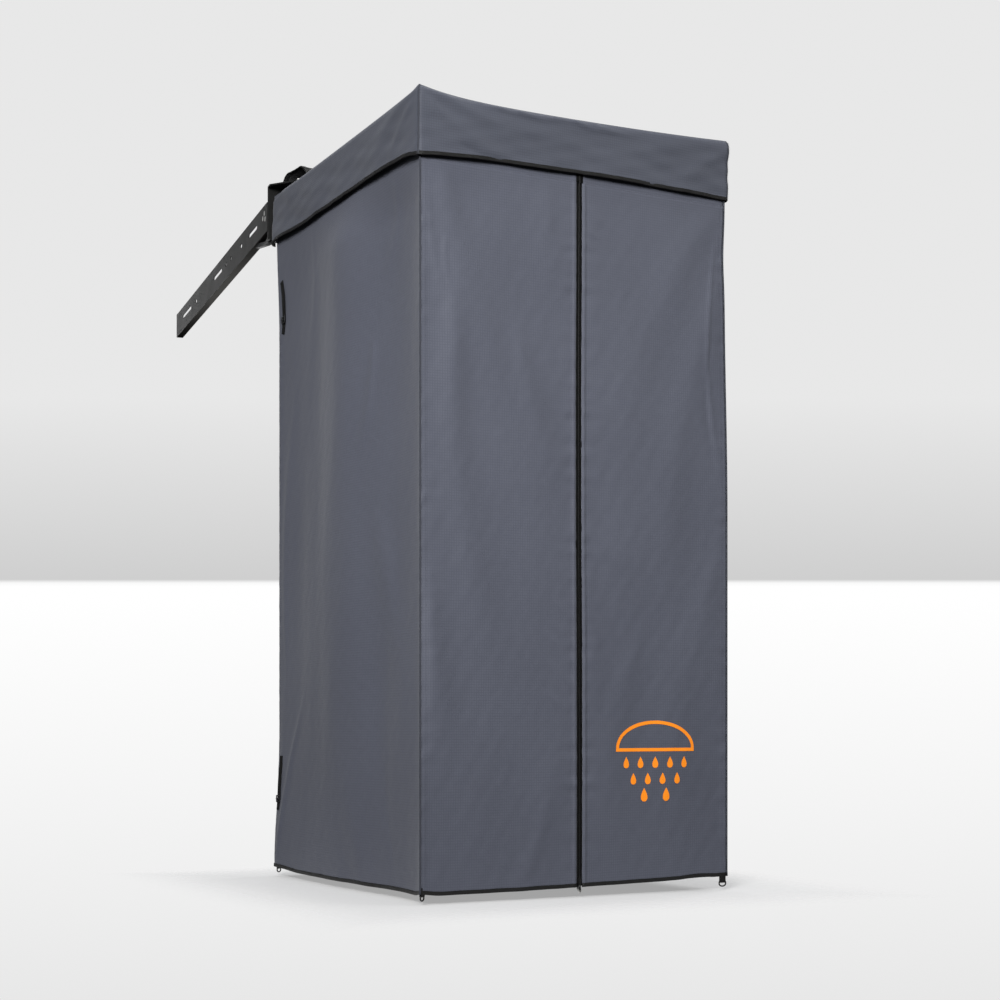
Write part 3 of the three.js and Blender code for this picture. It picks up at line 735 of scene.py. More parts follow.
def front_point(x, z):
    """Where the front wall's cloth is."""
    lean = corner_lean(z)[1] * smooth(x, WIDTH * 0.55, WIDTH)
    wander = 0.0016 * np.sin(z * 3.1 + 0.6) * bell(x - ZIP_X, 0.15)
    tuck = (TUCK + front_edge_sag(x)) * smooth(z, 2.06, WALL_TOP)
    belly = 0.0050 * smooth(x, 0.0, 0.06) * smooth(WIDTH - x, 0.08, 0.24) * falling(z, 0.0, 0.4)
    return np.stack([x + lean + wander, -front_out(x, z), hung_height(x, z) - tuck - belly], axis=-1)


def door_columns(start, end):
    """Steps across a door, closer together within 4 cm of the zip."""
    places = [start]
    while places[-1] < end:
        places.append(places[-1] + (0.0022 if abs(places[-1] - ZIP_X) < 0.04 else 0.0065))
    places = np.array(places)
    return start + (places - start) * (end - start) / (places[-1] - start)


def front_sheet(name, x_grid, z_grid, behind=0.0):
    """A sheet of the front wall, set back from it by behind."""
    points = front_point(x_grid, z_grid)
    points[..., 1] += behind
    flat = np.stack([x_grid, z_grid], axis=-1)
    return thicken(mesh_object(name, points, grid_faces(*x_grid.shape), SLATE, flat))


DOOR_EDGE = 0.0088  # from the zip's middle to the door's cloth
DOOR_SPANS = {"left": (0.0008, ZIP_X - DOOR_EDGE), "right": (ZIP_X + DOOR_EDGE, WIDTH - 0.0008)}
for side, span in DOOR_SPANS.items():
    x_grid, z_grid = np.meshgrid(door_columns(*span), np.linspace(0.0, DOOR_TOP + 0.004, 290))
    door = front_sheet(f"door_{side}_cloth", x_grid, z_grid)
    hang(door, f"door_{side}", "slate_cloth", f"door_{side}")

header_rows = np.linspace(DOOR_TOP - 0.010, WALL_TOP, 26)
x_grid, z_grid = np.meshgrid(np.linspace(0.002, WIDTH - 0.002, 130), header_rows)
behind_doors = 0.0011 * falling(z_grid, DOOR_TOP + 0.004, DOOR_TOP + 0.02)
header = front_sheet("front_header_cloth", x_grid, z_grid, behind_doors)
hang(header, "canopy", "slate_cloth", "front_header")

# ---- roof and valance: one cap, with the roof in rings from its middle out, then the valance ----
OUT = PROUD - 0.001
EAST, NORTH = WIDTH + OUT, DEPTH + OUT  # the rim's right and rear sides
rim_corners = [(NOTCH_X, NORTH), (-OUT, NORTH), (-OUT, -OUT), (EAST, -OUT), (EAST, NORTH), (NOTCH_X, NORTH)]
rim_s, rim, rim_way = rounded_path(rim_corners, 0.004, CLOTH_STEP)
rim_out = np.stack([rim_way[:, 1], -rim_way[:, 0]], axis=1)


def edge_height(x, y):
    """Height of the roof's edge at a point of its outline."""
    u, v = np.clip(x / WIDTH, 0.0, 1.0), np.clip(y / DEPTH, 0.0, 1.0)
    front = front_edge_sag(x)
    rear = side_edge_sag(u, 0.006)
    left = 0.004 + side_edge_sag(v, 0.006) + 0.028 * smooth(y, DEPTH - 0.075, DEPTH + 0.02)
    right = side_edge_sag(v, 0.014)
    sag = np.where(y < 0.02, front, np.where(y > DEPTH - 0.02, rear, np.where(x < 0.5, left, right)))
    corner_drop = 0.026 * smooth(0.06 - x, 0.0, 0.07) * smooth(y, DEPTH - 0.03, DEPTH + 0.01)
    sag = np.where((y > DEPTH - 0.02) & (x < 0.2), np.maximum(sag, corner_drop), sag)
    return TOP - 0.0012 - sag


rim_top = edge_height(rim[:, 0], rim[:, 1])
kernel = np.hanning(9) / np.hanning(9).sum()
rim_top = np.convolve(np.pad(rim_top, 4, mode="edge"), kernel, mode="valid")
rim_low = valance_low(*rim.T) + 0.0012 * waves(rim_s, 0.0, 61, 7, 0.10, 0.45, 50.0)

centre = np.array([WIDTH / 2, DEPTH / 2])
shares = np.concatenate([np.linspace(0.03, 0.93, 64), [0.95, 0.965, 0.978, 0.988, 0.995]])
ROOF_FOLDS = [
    (0.03, 0.03, 0.35, 0.30, 0.030, 0.004),
    (0.97, 0.03, 0.70, 0.32, 0.030, 0.004),
    (0.97, 1.08, 0.68, 0.80, 0.030, 0.004),
    (0.52, 0.0, 0.50, 0.20, 0.020, 0.003),
    (0.60, 0.0, 0.64, 0.16, 0.016, 0.0025),
]
PROPPED = ["arm_left_corner_cap", "arm_rear_corner_cap", "arm_diagonal_corner_cap"]
props = [cad(name) for name in PROPPED]  # the roof stands up over these
over_rear_arm = cad("arm_rear_tube")[1][2] + 0.004
rings = []
for share in shares:
    spot = centre + (rim - centre) * share
    x, y = spot.T
    ripple = 0.0011 * waves(x, y, 71, 9, 0.12, 0.5, 2.0) * (1.0 - share**6)
    height = (rim_top - 0.0006) * share**3 + (TOP - 0.001) * (1.0 - share**3) + ripple
    height = height + creases(x, y, ROOF_FOLDS) * (1.0 - share**8) - 0.005 * smooth(share, 0.965, 1.0) ** 2
    height = np.maximum(height, np.where(y > DEPTH - 0.09, over_rear_arm, 0.0))
    for low, high in props:
        beside = np.hypot(np.maximum(0.0, np.maximum(low[0] - x, x - high[0])),
                          np.maximum(0.0, np.maximum(low[1] - y, y - high[1])))
        height = np.maximum(height, high[2] + 0.0018 - 0.45 * np.maximum(0.0, beside - 0.001))
    rings.append(np.column_stack([spot, height]))

# The valance's pulled folds: places along its rim and up it, as above.
VALANCE_FOLDS = [
    (1.29, 2.20, 1.72, 2.11, 0.026, 0.0064),
    (1.29, 2.17, 1.52, 2.04, 0.024, 0.0053),
    (1.46, 2.185, 1.66, 2.172, 0.007, 0.0042),
    (1.56, 2.176, 1.72, 2.168, 0.006, 0.0036),
    (1.40, 2.05, 1.62, 2.02, 0.016, -0.0039),
    (1.74, 2.182, 1.90, 2.160, 0.009, 0.0048),
    (1.80, 2.180, 1.98, 2.166, 0.008, 0.0039),
    (1.62, 2.188, 1.78, 2.178, 0.010, 0.0031),
    (2.27, 2.18, 1.90, 2.08, 0.040, 0.0045),
    (2.27, 2.15, 2.10, 2.03, 0.026, 0.0034),
    (1.25, 2.19, 0.95, 2.08, 0.030, 0.0048),
    (1.24, 2.16, 1.08, 2.03, 0.022, 0.0036),
    (0.25, 2.18, 0.60, 2.07, 0.040, 0.0042),
]
# Valance rows: the first ones turn over the edge, and the rest hang and flare a little.
valance_tall = rim_top - rim_low
from_right_corner = np.hypot(rim[:, 0] - EAST, rim[:, 1] + OUT)
for drop in np.concatenate([[0.0015, 0.004, 0.008], np.linspace(0.014, 1.0, 26)]):
    z = rim_top - np.where(drop < 0.01, drop * VALANCE_CUT, drop * valance_tall)
    share = (rim_top - z) / valance_tall
    bulge = 0.0030 * waves(rim_s, z * 3.0, 63, 9, 0.12, 0.42, 1.5) * smooth(share, 0.0, 0.5)
    flare = (0.0070 - 0.0045 * bell(from_right_corner, 0.22)) * share**1.2
    corner_bulge = 0.0065 * bell(from_right_corner, 0.05) * bell(z - 2.165, 0.03)
    pulled = creases(rim_s, z, VALANCE_FOLDS)
    out = (bulge + flare + corner_bulge + pulled) * smooth(share, 0.0, 0.04)
    out = out - 0.004 * falling(share, 0.0, 0.05)
    rings.append(np.column_stack([rim + rim_out * out[:, None], z]))
cap_points = np.stack(rings)
roof_rows = len(shares)
row, column = np.meshgrid(np.arange(len(rings) - 1), np.arange(len(rim_s) - 1), indexing="ij")
centres = (cap_points[:-1, :-1] + cap_points[1:, 1:]) / 2
gap = (row >= roof_rows) & (centres[..., 1] > DEPTH) & (centres[..., 0] < NOTCH_X) & (centres[..., 0] > 0.004)
BOLT_HOLE = 0.032
from_bolt = np.hypot(centres[..., 0] - PIVOT[0], centres[..., 1] - PIVOT[1])
open_faces = gap | ((row < roof_rows) & (from_bolt < BOLT_HOLE))
flat_uv = cap_points[..., :2].copy()
flat_uv[roof_rows:, :, 0] = rim_s + 3.0
flat_uv[roof_rows:, :, 1] = cap_points[roof_rows:, :, 2]
roof_middle = tuple(range(len(rim_s) - 1))[::-1]
faces = [tuple(f) for f in grid_faces(len(rings), len(rim_s), ~open_faces)] + [roof_middle]
cap = thicken(weld(mesh_object("roof_and_valance", cap_points, faces, SHADED_ROOF_SLATE, flat_uv)))
hang(cap, "canopy", "slate_cloth",
     "roof_panel", "valance_front", "valance_left", "valance_right", "valance_rear")


def level(rows):
    """Plan directions as directions in space."""
    return np.column_stack([rows, np.zeros(len(rows))])


# ---- the valance's binding, folded over its lower edge ----
first = int(np.argmax(rim[:, 0] < 0.004))  # the binding starts where the rim comes round the back-left corner
edge, edge_out = cap_points[-1, first:], level(rim_out[first:])
ripple = edge_out * 0.0007 * waves(rim_s[first:], 0.0, 65, 9, 0.02, 0.08, 50.0)[:, None]
binding_line = edge + UP * (BINDING_TALL / 2 - 0.001) + edge_out * 0.0002 + ripple
binding = sweep("valance_binding", binding_line, edge_out, UP, rounded(0.0036, BINDING_TALL, 0.0016), TAPE)
hang(binding, "canopy", "tape_cloth",
     "valance_binding_front", "valance_binding_left", "valance_binding_right", "valance_binding_rear")
thread_line = edge + UP * (BINDING_TALL - 0.0035) + edge_out * 0.002 + ripple
hang(stitches("valance_binding_stitches", thread_line, edge_out, DARK_THREAD), "canopy", "tape_cloth")

# ---- piping where the roof meets the valance, and a felled seam down each of its corners ----
rim_edge = cap_points[roof_rows, first:] - UP * 0.0002
piping = sweep("roof_edge_seam", rim_edge, edge_out, UP, rounded(0.0014, 0.0014, 0.0006, 2), SHADED_ROOF_SLATE)
hang(piping, "canopy", "slate_cloth")
for name, x, y in (("front_left", -OUT, -OUT), ("front_right", EAST, -OUT), ("rear_right", EAST, NORTH)):
    column = int(np.argmin(np.hypot(rim[:, 0] - x, rim[:, 1] - y)))
    line, out = cap_points[roof_rows:, column], level(rim_out[column:column + 1])[0]
    along = np.cross(out, UP)
    name = f"valance_seam_{name}"
    seam = sweep(name, line + out * 0.0006, out, along, rounded(0.0014, 0.0052, 0.0006, 2), SHADED_SEAM)
    hang(seam, "canopy", "slate_cloth")
    rows = [stitches(name + "_row", line + out * 0.0014 + along * k, out, THREAD) for k in (-0.0045, 0.0045)]
    hang(joined(name + "_stitches", rows), "canopy", "slate_cloth")


# ---- hems ----


def taped_hem(name, thread_name, line, out, body, *replaced):
    """A hem's tape and its row of stitches."""
    tape = sweep(name, line, out, UP, rounded(0.0042, HEM_TALL, 0.0018), TAPE)
    hang(tape, body, "tape_cloth", *replaced)
    thread = stitches(thread_name, line + UP * 0.0045 + np.asarray(out) * 0.0021, out, DARK_THREAD)
    hang(thread, body, "tape_cloth")


hem_wave = 0.0010 * waves(stations, 0.0, 91, 7, 0.07, 0.3, 50.0) * held(stations, 0.03)
hem_line = wall_point(stations, np.full(len(stations), HEM_TALL / 2)) + UP * hem_wave[:, None]
taped_hem("wall_hem", "wall_hem_stitches", hem_line, level(outward), "canopy",
          "hem_left", "hem_right", "hem_rear")
for side, (start, end) in DOOR_SPANS.items():
    x = np.linspace(start, end, 70)
    hem_wave = 0.0011 * waves(x, 0.0, 92, 6, 0.05, 0.22, 50.0) * held(x, 0.03)
    hem_line = front_point(x, np.full(len(x), HEM_TALL / 2)) + UP * hem_wave[:, None]
    name = f"door_hem_{side}"
    taped_hem(name + "_tape", name + "_stitches", hem_line, FRONT, f"door_{side}", name)

# ---- rows of stitches beside the corners and along the zip's flaps ----
SEAM_LOW = 0.02
for side, sign, seam_x in (("left", -1, 0.013 + 0.004), ("right", 1, WIDTH - 0.013 - 0.004)):
    for name, x in (("seam", seam_x), ("flap", ZIP_X + sign * 0.0215)):
        z = np.linspace(SEAM_LOW, DOOR_TOP - 0.002, 300)
        line = front_point(np.full(len(z), x), z) + FRONT * 0.0004
        hang(stitches(f"door_{side}_{name}_stitches", line, FRONT, THREAD), f"door_{side}", "slate_cloth")
AWAY, FRONT_AWAY = 0.014, 0.010  # from a corner to its row of stitches
REAR_RIGHT = DEPTH + WIDTH  # how far along the wall's sheet that corner is
for name, s in (("front_left", FRONT_AWAY), ("rear_left", DEPTH - AWAY), ("rear_left_back", DEPTH + AWAY),
                ("rear_right_back", REAR_RIGHT - AWAY), ("rear_right", REAR_RIGHT + AWAY),
                ("front_right", REAR_RIGHT + DEPTH - FRONT_AWAY)):
    z = np.linspace(SEAM_LOW, (NOTCH_Z if "rear_left" in name else WALL_TOP) - 0.01, 300)
    out = level(read_off([s], stations, outward))[0]
    line = wall_point(np.full(len(z), s), z) + out * 0.0004
    hang(stitches(f"wall_seam_{name}", line, out, THREAD), "canopy", "slate_cloth")

# ---- piping down the two front corners ----
z = np.linspace(0.0, WALL_TOP, 240)
piping_shape = rounded(0.0016, 0.0050, 0.0007, 2)
for name, x, lean, sign in (("front_left", -0.0004, 0.0 * z, -1),
                            ("front_right", WIDTH + 0.0004, corner_lean(z)[1], 1)):
    out = np.array([0.64 * sign, -0.77, 0.0])
    line = np.column_stack([x + lean, np.full(len(z), -0.0014), hung_height(x, z)])
    piping = sweep(f"corner_piping_{name}", line, out, np.cross(out, UP), piping_shape, SHADED_SEAM)
    hang(piping, "canopy", "slate_cloth")

# ---- zip ----
ZIP_LOW, ZIP_HIGH = 0.004, DOOR_TOP + 0.002
TOOTH_PITCH = 0.0024
DEEP = -FRONT


def zip_line(offset, z, y):
    """A line up the zip, offset across it, at one depth."""
    line = front_point(np.full(len(z), ZIP_X + offset), z)
    line[:, 1] = y
    return line


def zip_tape(name, offset, z, y, wide):
    """A flat tape up the zip."""
    return sweep(name, zip_line(offset, z, y), ACROSS, DEEP, rounded(wide, 0.0010, 0.0004, 1), ZIP_TAPE)


# A tooth is three squares of points, the last one drawn in, over half its size in X, Y and Z.
TOOTH_SQUARES = ((1, 1, 1), (-0.2, 1, 1), (-1, 0.6, 0.55))
TOOTH = np.array([(x * wide, y, z * tall) for y, wide, tall in TOOTH_SQUARES
                  for x, z in ((-1, -1), (1, -1), (1, 1), (-1, 1))]) * (0.0019, 0.0011, 0.00085)
TOOTH_FACES = [(0, 1, 2, 3), (0, 4, 5, 1), (1, 5, 6, 2), (2, 6, 7, 3), (3, 7, 4, 0),
               (4, 8, 9, 5), (5, 9, 10, 6), (6, 10, 11, 7), (7, 11, 8, 4), (8, 11, 10, 9)]


def zip_teeth(name, sign, start, end, y):
    """The teeth of one side of the zip, in one mesh."""
    z = np.arange(start, end, TOOTH_PITCH) + (TOOTH_PITCH / 2 if sign > 0 else 0.0)
    points = zip_line(sign * 0.0006, z, y)[:, None] + TOOTH[None]
    faces = [tuple(12 * k + i for i in quad) for k in range(len(z)) for quad in TOOTH_FACES]
    return outwards(mesh_object(name, points, faces, PLASTIC, np.zeros((12 * len(z), 2)), smooth=False))


for side, sign in (("left", -1), ("right", 1)):
    body = f"door_{side}"
    z = np.linspace(ZIP_LOW, ZIP_HIGH, 200)
    tape = zip_tape(f"zip_tape_{side}_cloth", sign * 0.00555, z, 0.0007, 0.0105)
    hang(tape, body, "black_plastic", f"zip_tape_{side}")
    hang(zip_teeth(f"zip_teeth_{side}", sign, 0.022, ZIP_HIGH, -0.0006), body, "black_plastic")
    thread_line = zip_line(sign * 0.0062, np.linspace(SEAM_LOW, ZIP_HIGH, 200), 0.0001)
    hang(stitches(f"zip_tape_{side}_stitches", thread_line, FRONT, DARK_THREAD), body, "black_plastic")

# The zip runs on for a short way over the header, where it is sewn shut.
STUB_LOW, STUB_HIGH = ZIP_HIGH + 0.0008, ZIP_HIGH + 0.034
stub = zip_tape("zip_head_tape", 0.0, np.linspace(STUB_LOW, STUB_HIGH, 8), -0.0022, 0.0216)
hang(stub, "canopy", "black_plastic")
stub_teeth = [zip_teeth(f"zip_head_teeth_{sign}", sign, STUB_LOW, STUB_HIGH, -0.0036) for sign in (-1, 1)]
hang(joined("zip_head_teeth", stub_teeth), "canopy", "black_plastic")


def plate(name, outline, y0, y1, hole=None):
    """An outline in X and Z made into a plate from y0 to y1, with a hole in it."""
    made = bmesh.new()
    rims = []
    for loop in (outline, hole or ()):
        verts = [made.verts.new((x, y0, z)) for x, z in loop]
        rims += [made.edges.new((verts[i], verts[(i + 1) % len(verts)])) for i in range(len(verts))]
    filled = bmesh.ops.triangle_fill(made, edges=rims, use_beauty=True)
    faces = [f for f in filled["geom"] if isinstance(f, bmesh.types.BMFace)]
    grown = bmesh.ops.extrude_face_region(made, geom=faces)
    far = [v for v in grown["geom"] if isinstance(v, bmesh.types.BMVert)]
    bmesh.ops.translate(made, verts=far, vec=(0.0, y1 - y0, 0.0))
    bmesh.ops.recalc_face_normals(made, faces=made.faces)
    for v in made.verts:
        v.co += Vector(FOOT)
    mesh = bpy.data.meshes.new(name)
    made.to_mesh(mesh)
    made.free()
    mesh.materials.append(PLASTIC)
    return placed(name, mesh)


def arc(x, z, radius_x, radius_z, start, end, steps=12):
    """Points round an ellipse, from one angle to another in degrees."""
    turns = [math.radians(start + (end - start) * k / steps) for k in range(steps + 1)]
    return [(x + radius_x * math.cos(turn), z + radius_z * math.sin(turn)) for turn in turns]


def torus(name, centre, across, radius, material, squeeze=1.0):
    """An upright ring of round wire, in the plane of across and up."""
    turn = np.linspace(0.0, 2.0 * math.pi, 28, endpoint=False)[:, None]
    across = np.asarray(across, float)
    line = np.asarray(centre) + radius * (np.cos(turn) * across + np.sin(turn) * UP * squeeze)
    away = np.cos(turn) * across + np.sin(turn) * UP
    return sweep(name, line, away, np.cross(across, UP), circle(0.00065, 10), material, closed_path=True)


(x0, y0, z0), (x1, y1, z1) = cad("zip_slider")
half = (x1 - x0) / 2
slider = [(ZIP_X + half * 0.55, z0), (ZIP_X + half * 0.85, z0 + 0.006),
          *arc(ZIP_X, z1 - 0.006, half, 0.006, 0, 180),
          (ZIP_X - half * 0.85, z0 + 0.006), (ZIP_X - half * 0.55, z0)]
left, right = ZIP_X - 0.0012, ZIP_X + 0.0012
bridge = [(left, z0 + 0.010), (right, z0 + 0.010), (right, z1), (left, z1)]
for piece in (soften(plate("zip_slider_front", slider, y0 + 0.0006, -0.0017), 0.0006),
              soften(plate("zip_slider_back", slider, 0.0019, y1), 0.0006),
              plate("zip_slider_bridge", bridge, -0.0020, 0.0022),
              torus("zip_slider_bail", (ZIP_X, y0 - 0.0006, 0.0135), DEEP, 0.0028, PLASTIC, 1.35)):
    hang(piece, "zip_slider", "black_plastic", "zip_slider")

for node in ("zip_pull_outer", "zip_pull_inner"):
    (x0, y0, z0), (x1, y1, z1) = cad(node)
    half, waist = (x1 - x0) / 2, (z0 + z1) / 2
    outline = (arc(ZIP_X, z1 - half * 0.8, half * 0.8, half * 0.8, 0, 180) + [(ZIP_X - half * 0.62, waist)]
               + arc(ZIP_X, z0 + half, half, half, 180, 360) + [(ZIP_X + half * 0.62, waist)])
    eye = arc(ZIP_X, z0 + half * 1.05, half * 0.5, half * 0.5, 0, 330, 11)
    tab = soften(plate(node + "_tab", outline, y0, y1, eye), 0.0004)
    hang(tab, node, "black_plastic", node)
    loop_spot = (ZIP_X, (y0 + y1) / 2, z0 - 0.0006)
    loop = torus(node + "_tab_loop", loop_spot, (math.cos(0.5), math.sin(0.5), 0.0), 0.0036, ZINC)
    hang(loop, node, "zinc_steel")

# ---- corner tabs and D-rings ----
RING_PIN = -0.009  # the ring's straight bar, below the tent's zero
TAB_HALF = 0.0029  # the tab is folded over the bar, with its two layers this far from its middle
RING_WIDE, RING_DEEP, RING_WIRE, RING_BEND = 0.0115, 0.0135, 0.0042, 0.002
top = [(x, 0.0) for x in np.linspace(RING_BEND - RING_WIDE, RING_WIDE - RING_BEND, 8)]
bend = [(RING_WIDE - RING_BEND + RING_BEND * math.sin(a), RING_BEND * math.cos(a) - RING_BEND)
        for a in np.linspace(0.2, 1.57, 4)]
bow = [(RING_WIDE * math.cos(a), -0.0065 + (RING_DEEP - 0.0065) * math.sin(a))
       for a in np.linspace(-0.05, -math.pi + 0.05, 18)]
ring_shape = np.array(top + bend + bow + [(-x, z) for x, z in bend[::-1]])
under = arc(0.0, RING_PIN, TAB_HALF, TAB_HALF, 180, 360, 10)
tab_shape = [(-TAB_HALF, 0.013), (-TAB_HALF, 0.004), *under, (TAB_HALF, 0.004), (TAB_HALF, 0.013)]
for corner in ("front_left", "front_right", "rear_left", "rear_right"):
    spot = middle_of(f"d_ring_{corner}") * (1.0, 1.0, 0.0)
    across = np.array(FOLD_AXIS)
    if corner == "front_right":
        across, spot = ACROSS, spot + ACROSS * 0.007
    ahead = np.cross(UP, across)
    line = np.array([spot + ahead * a + UP * b for a, b in tab_shape])
    tangent = unit(np.gradient(line, axis=0))
    wide = 0.022 if corner == "front_left" else 0.019
    tab = sweep(f"corner_tab_{corner}_webbing", line, np.cross(tangent, across), across,
                rounded(0.0014, wide, 0.0005, 2), WEBBING)
    hang(tab, "canopy", "webbing", f"corner_tab_{corner}")
    line = spot + ring_shape[:, :1] * across + UP * (ring_shape[:, 1:] + RING_PIN)
    way = unit(np.roll(line, -1, axis=0) - np.roll(line, 1, axis=0))
    ring = sweep(f"d_ring_{corner}_wire", line, np.cross(way, ahead), ahead, circle(RING_WIRE / 2, 12), STEEL,
                 closed_path=True)
    hang(ring, f"ring_{corner}", "black_steel", f"d_ring_{corner}")

# ---- tie straps and their buckles ----
# The buckle's bars: middle across and up, width, height, corner radius, and how far out each starts and ends.
BUCKLE_BARS = (
    (0.0, 0.0095, 0.031, 0.0042, 0.0018, 0.0, 0.0030),
    (0.0, -0.0095, 0.031, 0.0042, 0.0018, 0.0, 0.0030),
    (0.0, 0.0, 0.028, 0.0042, 0.0018, 0.0022, 0.0048),
    (-0.0138, 0.0, 0.0034, 0.022, 0.0014, 0.0, 0.0030),
    (0.0138, 0.0, 0.0034, 0.022, 0.0014, 0.0, 0.0030),
)


def buckle_bar(name, spot, bar):
    """One bar of a buckle, flat against the left wall at spot."""
    across, up, wide, tall, radius, near, far = bar
    outline = [(spot[1] + across + p, spot[2] + up + q) for p, q in rounded(wide, tall, radius)]
    points = np.array([[spot[0] - 0.0014 - out, p, q] for out in (near, far) for p, q in outline])
    count = len(outline)
    faces = [tuple(range(count)), tuple(range(count, 2 * count))[::-1]]
    faces += [(i, (i + 1) % count, count + (i + 1) % count, count + i) for i in range(count)]
    return outwards(mesh_object(name, points, faces, PLASTIC, points[:, 1:], smooth=False))


for height, lean, bow in (("upper", 0.0, 0.016), ("lower", 0.012, 0.004)):
    low, high = cad(f"tie_strap_{height}")
    z = np.linspace(high[2], low[2], 40)
    t = (high[2] - z) / (high[2] - low[2])
    y = (low[1] + high[1]) / 2 - 0.004 - bow * np.sin(math.pi * t) + lean * (t - 0.5)
    skin = wall_point(y, z)
    stand = 0.0012 + 0.0035 * np.sin(math.pi * np.clip(t * 1.1, 0, 1)) ** 2
    line = np.column_stack([skin[:, 0] - stand, skin[:, 1], z])
    across = np.cross(unit(np.gradient(line, axis=0)), -ACROSS)
    strap = sweep(f"tie_strap_{height}_webbing", line, -ACROSS, across,
                  rounded(0.0016, 0.024, 0.0006, 2), WEBBING)
    hang(strap, "canopy", "webbing", f"tie_strap_{height}")
    spot = line[int(np.argmin(np.abs(z - middle_of(f"tie_buckle_{height}")[2])))]
    bars = [buckle_bar(f"buckle_part_{k}", spot, bar) for k, bar in enumerate(BUCKLE_BARS)]
    buckle = soften(joined(f"tie_buckle_{height}_frame", bars), 0.0005)
    hang(buckle, "canopy", "black_plastic", f"tie_buckle_{height}")
    sewn = line[:9] - ACROSS * 0.0009
    rows = [stitches(f"row_{k}", sewn + across[:9] * k, -ACROSS, DARK_THREAD) for k in (-0.009, 0.009)]
    hang(joined(f"tie_strap_{height}_stitches", rows), "canopy", "webbing")

# ---- storage cover: a soft sleeve along the back of the roof, open towards the hub ----
low, high = cad("storage_cover")
mouth_x = cad("cover_mouth_binding")[0][0]
south, north, bottom = low[1] + 0.002, high[1] - 0.002, low[2] - 0.001
arch_corners = [(south, bottom), (south, low[2] + 0.040), (low[1] + 0.055, high[2] - 0.008),
                (high[1] - 0.040, high[2]), (north, high[2] - 0.035), (north, bottom)]
arch_s, arch, arch_way = rounded_path(arch_corners, 0.022, 0.006)
arch_out = np.stack([-arch_way[:, 1], arch_way[:, 0]], axis=1)


def cover_point(x, k):
    """A point of the sleeve at x, k along its arch."""
    place, away = read_off(k, arch_s, arch), read_off(k, arch_s, arch_out)
    loose = np.sin(math.pi * k / arch_s[-1])
    sag = 0.010 * np.sin(math.pi * np.clip((x - mouth_x) / (high[0] - mouth_x), 0.0, 1.0)) * loose**2
    out = 0.0040 * waves(x, k, 81, 9, 0.06, 0.26, 1.2) + 0.0012 * waves(x, k, 82, 8, 0.02, 0.06, 1.0)
    place = place + away * (out * loose)[..., None]
    return np.stack([x, place[..., 0], place[..., 1] - sag], axis=-1)


x_grid, k_grid = np.meshgrid(np.linspace(mouth_x + 0.002, high[0] - 0.030, 130), arch_s)
sleeve = cover_point(x_grid, k_grid)
last_row = sleeve[:, -1]
end_rows = []
end_centre = np.array([high[0] - 0.002, (low[1] + high[1]) / 2, low[2] + 0.030])
for share in np.sin(np.linspace(0.0, math.pi / 2, 12))[1:]:  # the sleeve's far end closes like a dome
    draw = 1.0 - share
    inner = last_row * draw + end_centre * share
    inner[:, 0] = last_row[:, 0] + (end_centre[0] - last_row[:, 0]) * math.sqrt(1.0 - draw**2)
    inner[:, 2] = np.maximum(inner[:, 2], bottom)
    end_rows.append(inner)
sleeve = np.concatenate([sleeve, np.stack(end_rows, axis=1)], axis=1)
cover_u = np.concatenate([x_grid[0], high[0] + np.linspace(0.0, 0.1, len(end_rows))])
cover_uv = np.stack(np.broadcast_arrays(cover_u[None], arch_s[:, None]), axis=-1)
cover_faces = grid_faces(*sleeve.shape[:2], turn=True)
cover = thicken(mesh_object("storage_cover_cloth", sleeve, cover_faces, COVER, cover_uv), 0.0012)
attach(cover, "rear_arm", "cover_cloth", "storage_cover")
mouth = cover_point(np.full(len(arch_s), mouth_x + 0.008), arch_s)
mouth_out = np.column_stack([np.zeros(len(arch_s)), arch_out])
mouth_tape = sweep("cover_mouth_tape", mouth, mouth_out, ACROSS, rounded(0.0048, 0.0165, 0.0020), TAPE)
attach(mouth_tape, "rear_arm", "tape_cloth", "cover_mouth_binding")
sewn = mouth + mouth_out * 0.0024
rows = [stitches(f"mouth_row_{k}", sewn + ACROSS * k, mouth_out, DARK_THREAD) for k in (-0.005, 0.005)]
attach(joined("cover_mouth_stitches", rows), "rear_arm", "tape_cloth")

# ---- round patch where the pivot's bolt comes through the roof ----
spokes = np.array([(x, y, 0.0) for x, y in circle(1.0, 48)])
patch_line = np.array([PIVOT[0], PIVOT[1], TOP - 0.0005]) + spokes * 0.030
patch = sweep("pivot_patch", patch_line, spokes, UP, rounded(0.022, 0.0018, 0.0008, 2), COVER,
              closed_path=True)
hang(patch, "canopy", "cover_cloth")

# ---- print: a plain shower pictogram, a head over falling drops ----
PRINT_X, PRINT_Z, PRINT_WIDE = 0.751, 0.3515, 0.262
LINE_WIDE = 0.010
# Each row of drops: how many, how far apart, their height against PRINT_Z, and how tall they are.
DROP_ROWS = ((5, 0.048, -0.004, 0.034), (4, 0.048, -0.052, 0.034), (2, 0.072, -0.099, 0.040))


def inked(name, rows, closed):
    """Rows of points in X and Z, printed on the front wall."""
    flat = rows.reshape(-1, 2)
    placed = front_point(flat[:, 0], flat[:, 1]) + FRONT * 0.0009
    return mesh_object(name, placed, grid_faces(*rows.shape[:2], closed=closed), GLOWING_PRINT, flat)


def inked_strip(name, path):
    """A printed line of one width along a path in X and Z."""
    path = np.array(path)
    ahead = unit(np.gradient(path, axis=0))
    side = np.column_stack([-ahead[:, 1], ahead[:, 0]]) * LINE_WIDE / 2
    return inked(name, np.stack([path - side, path, path + side]), False)


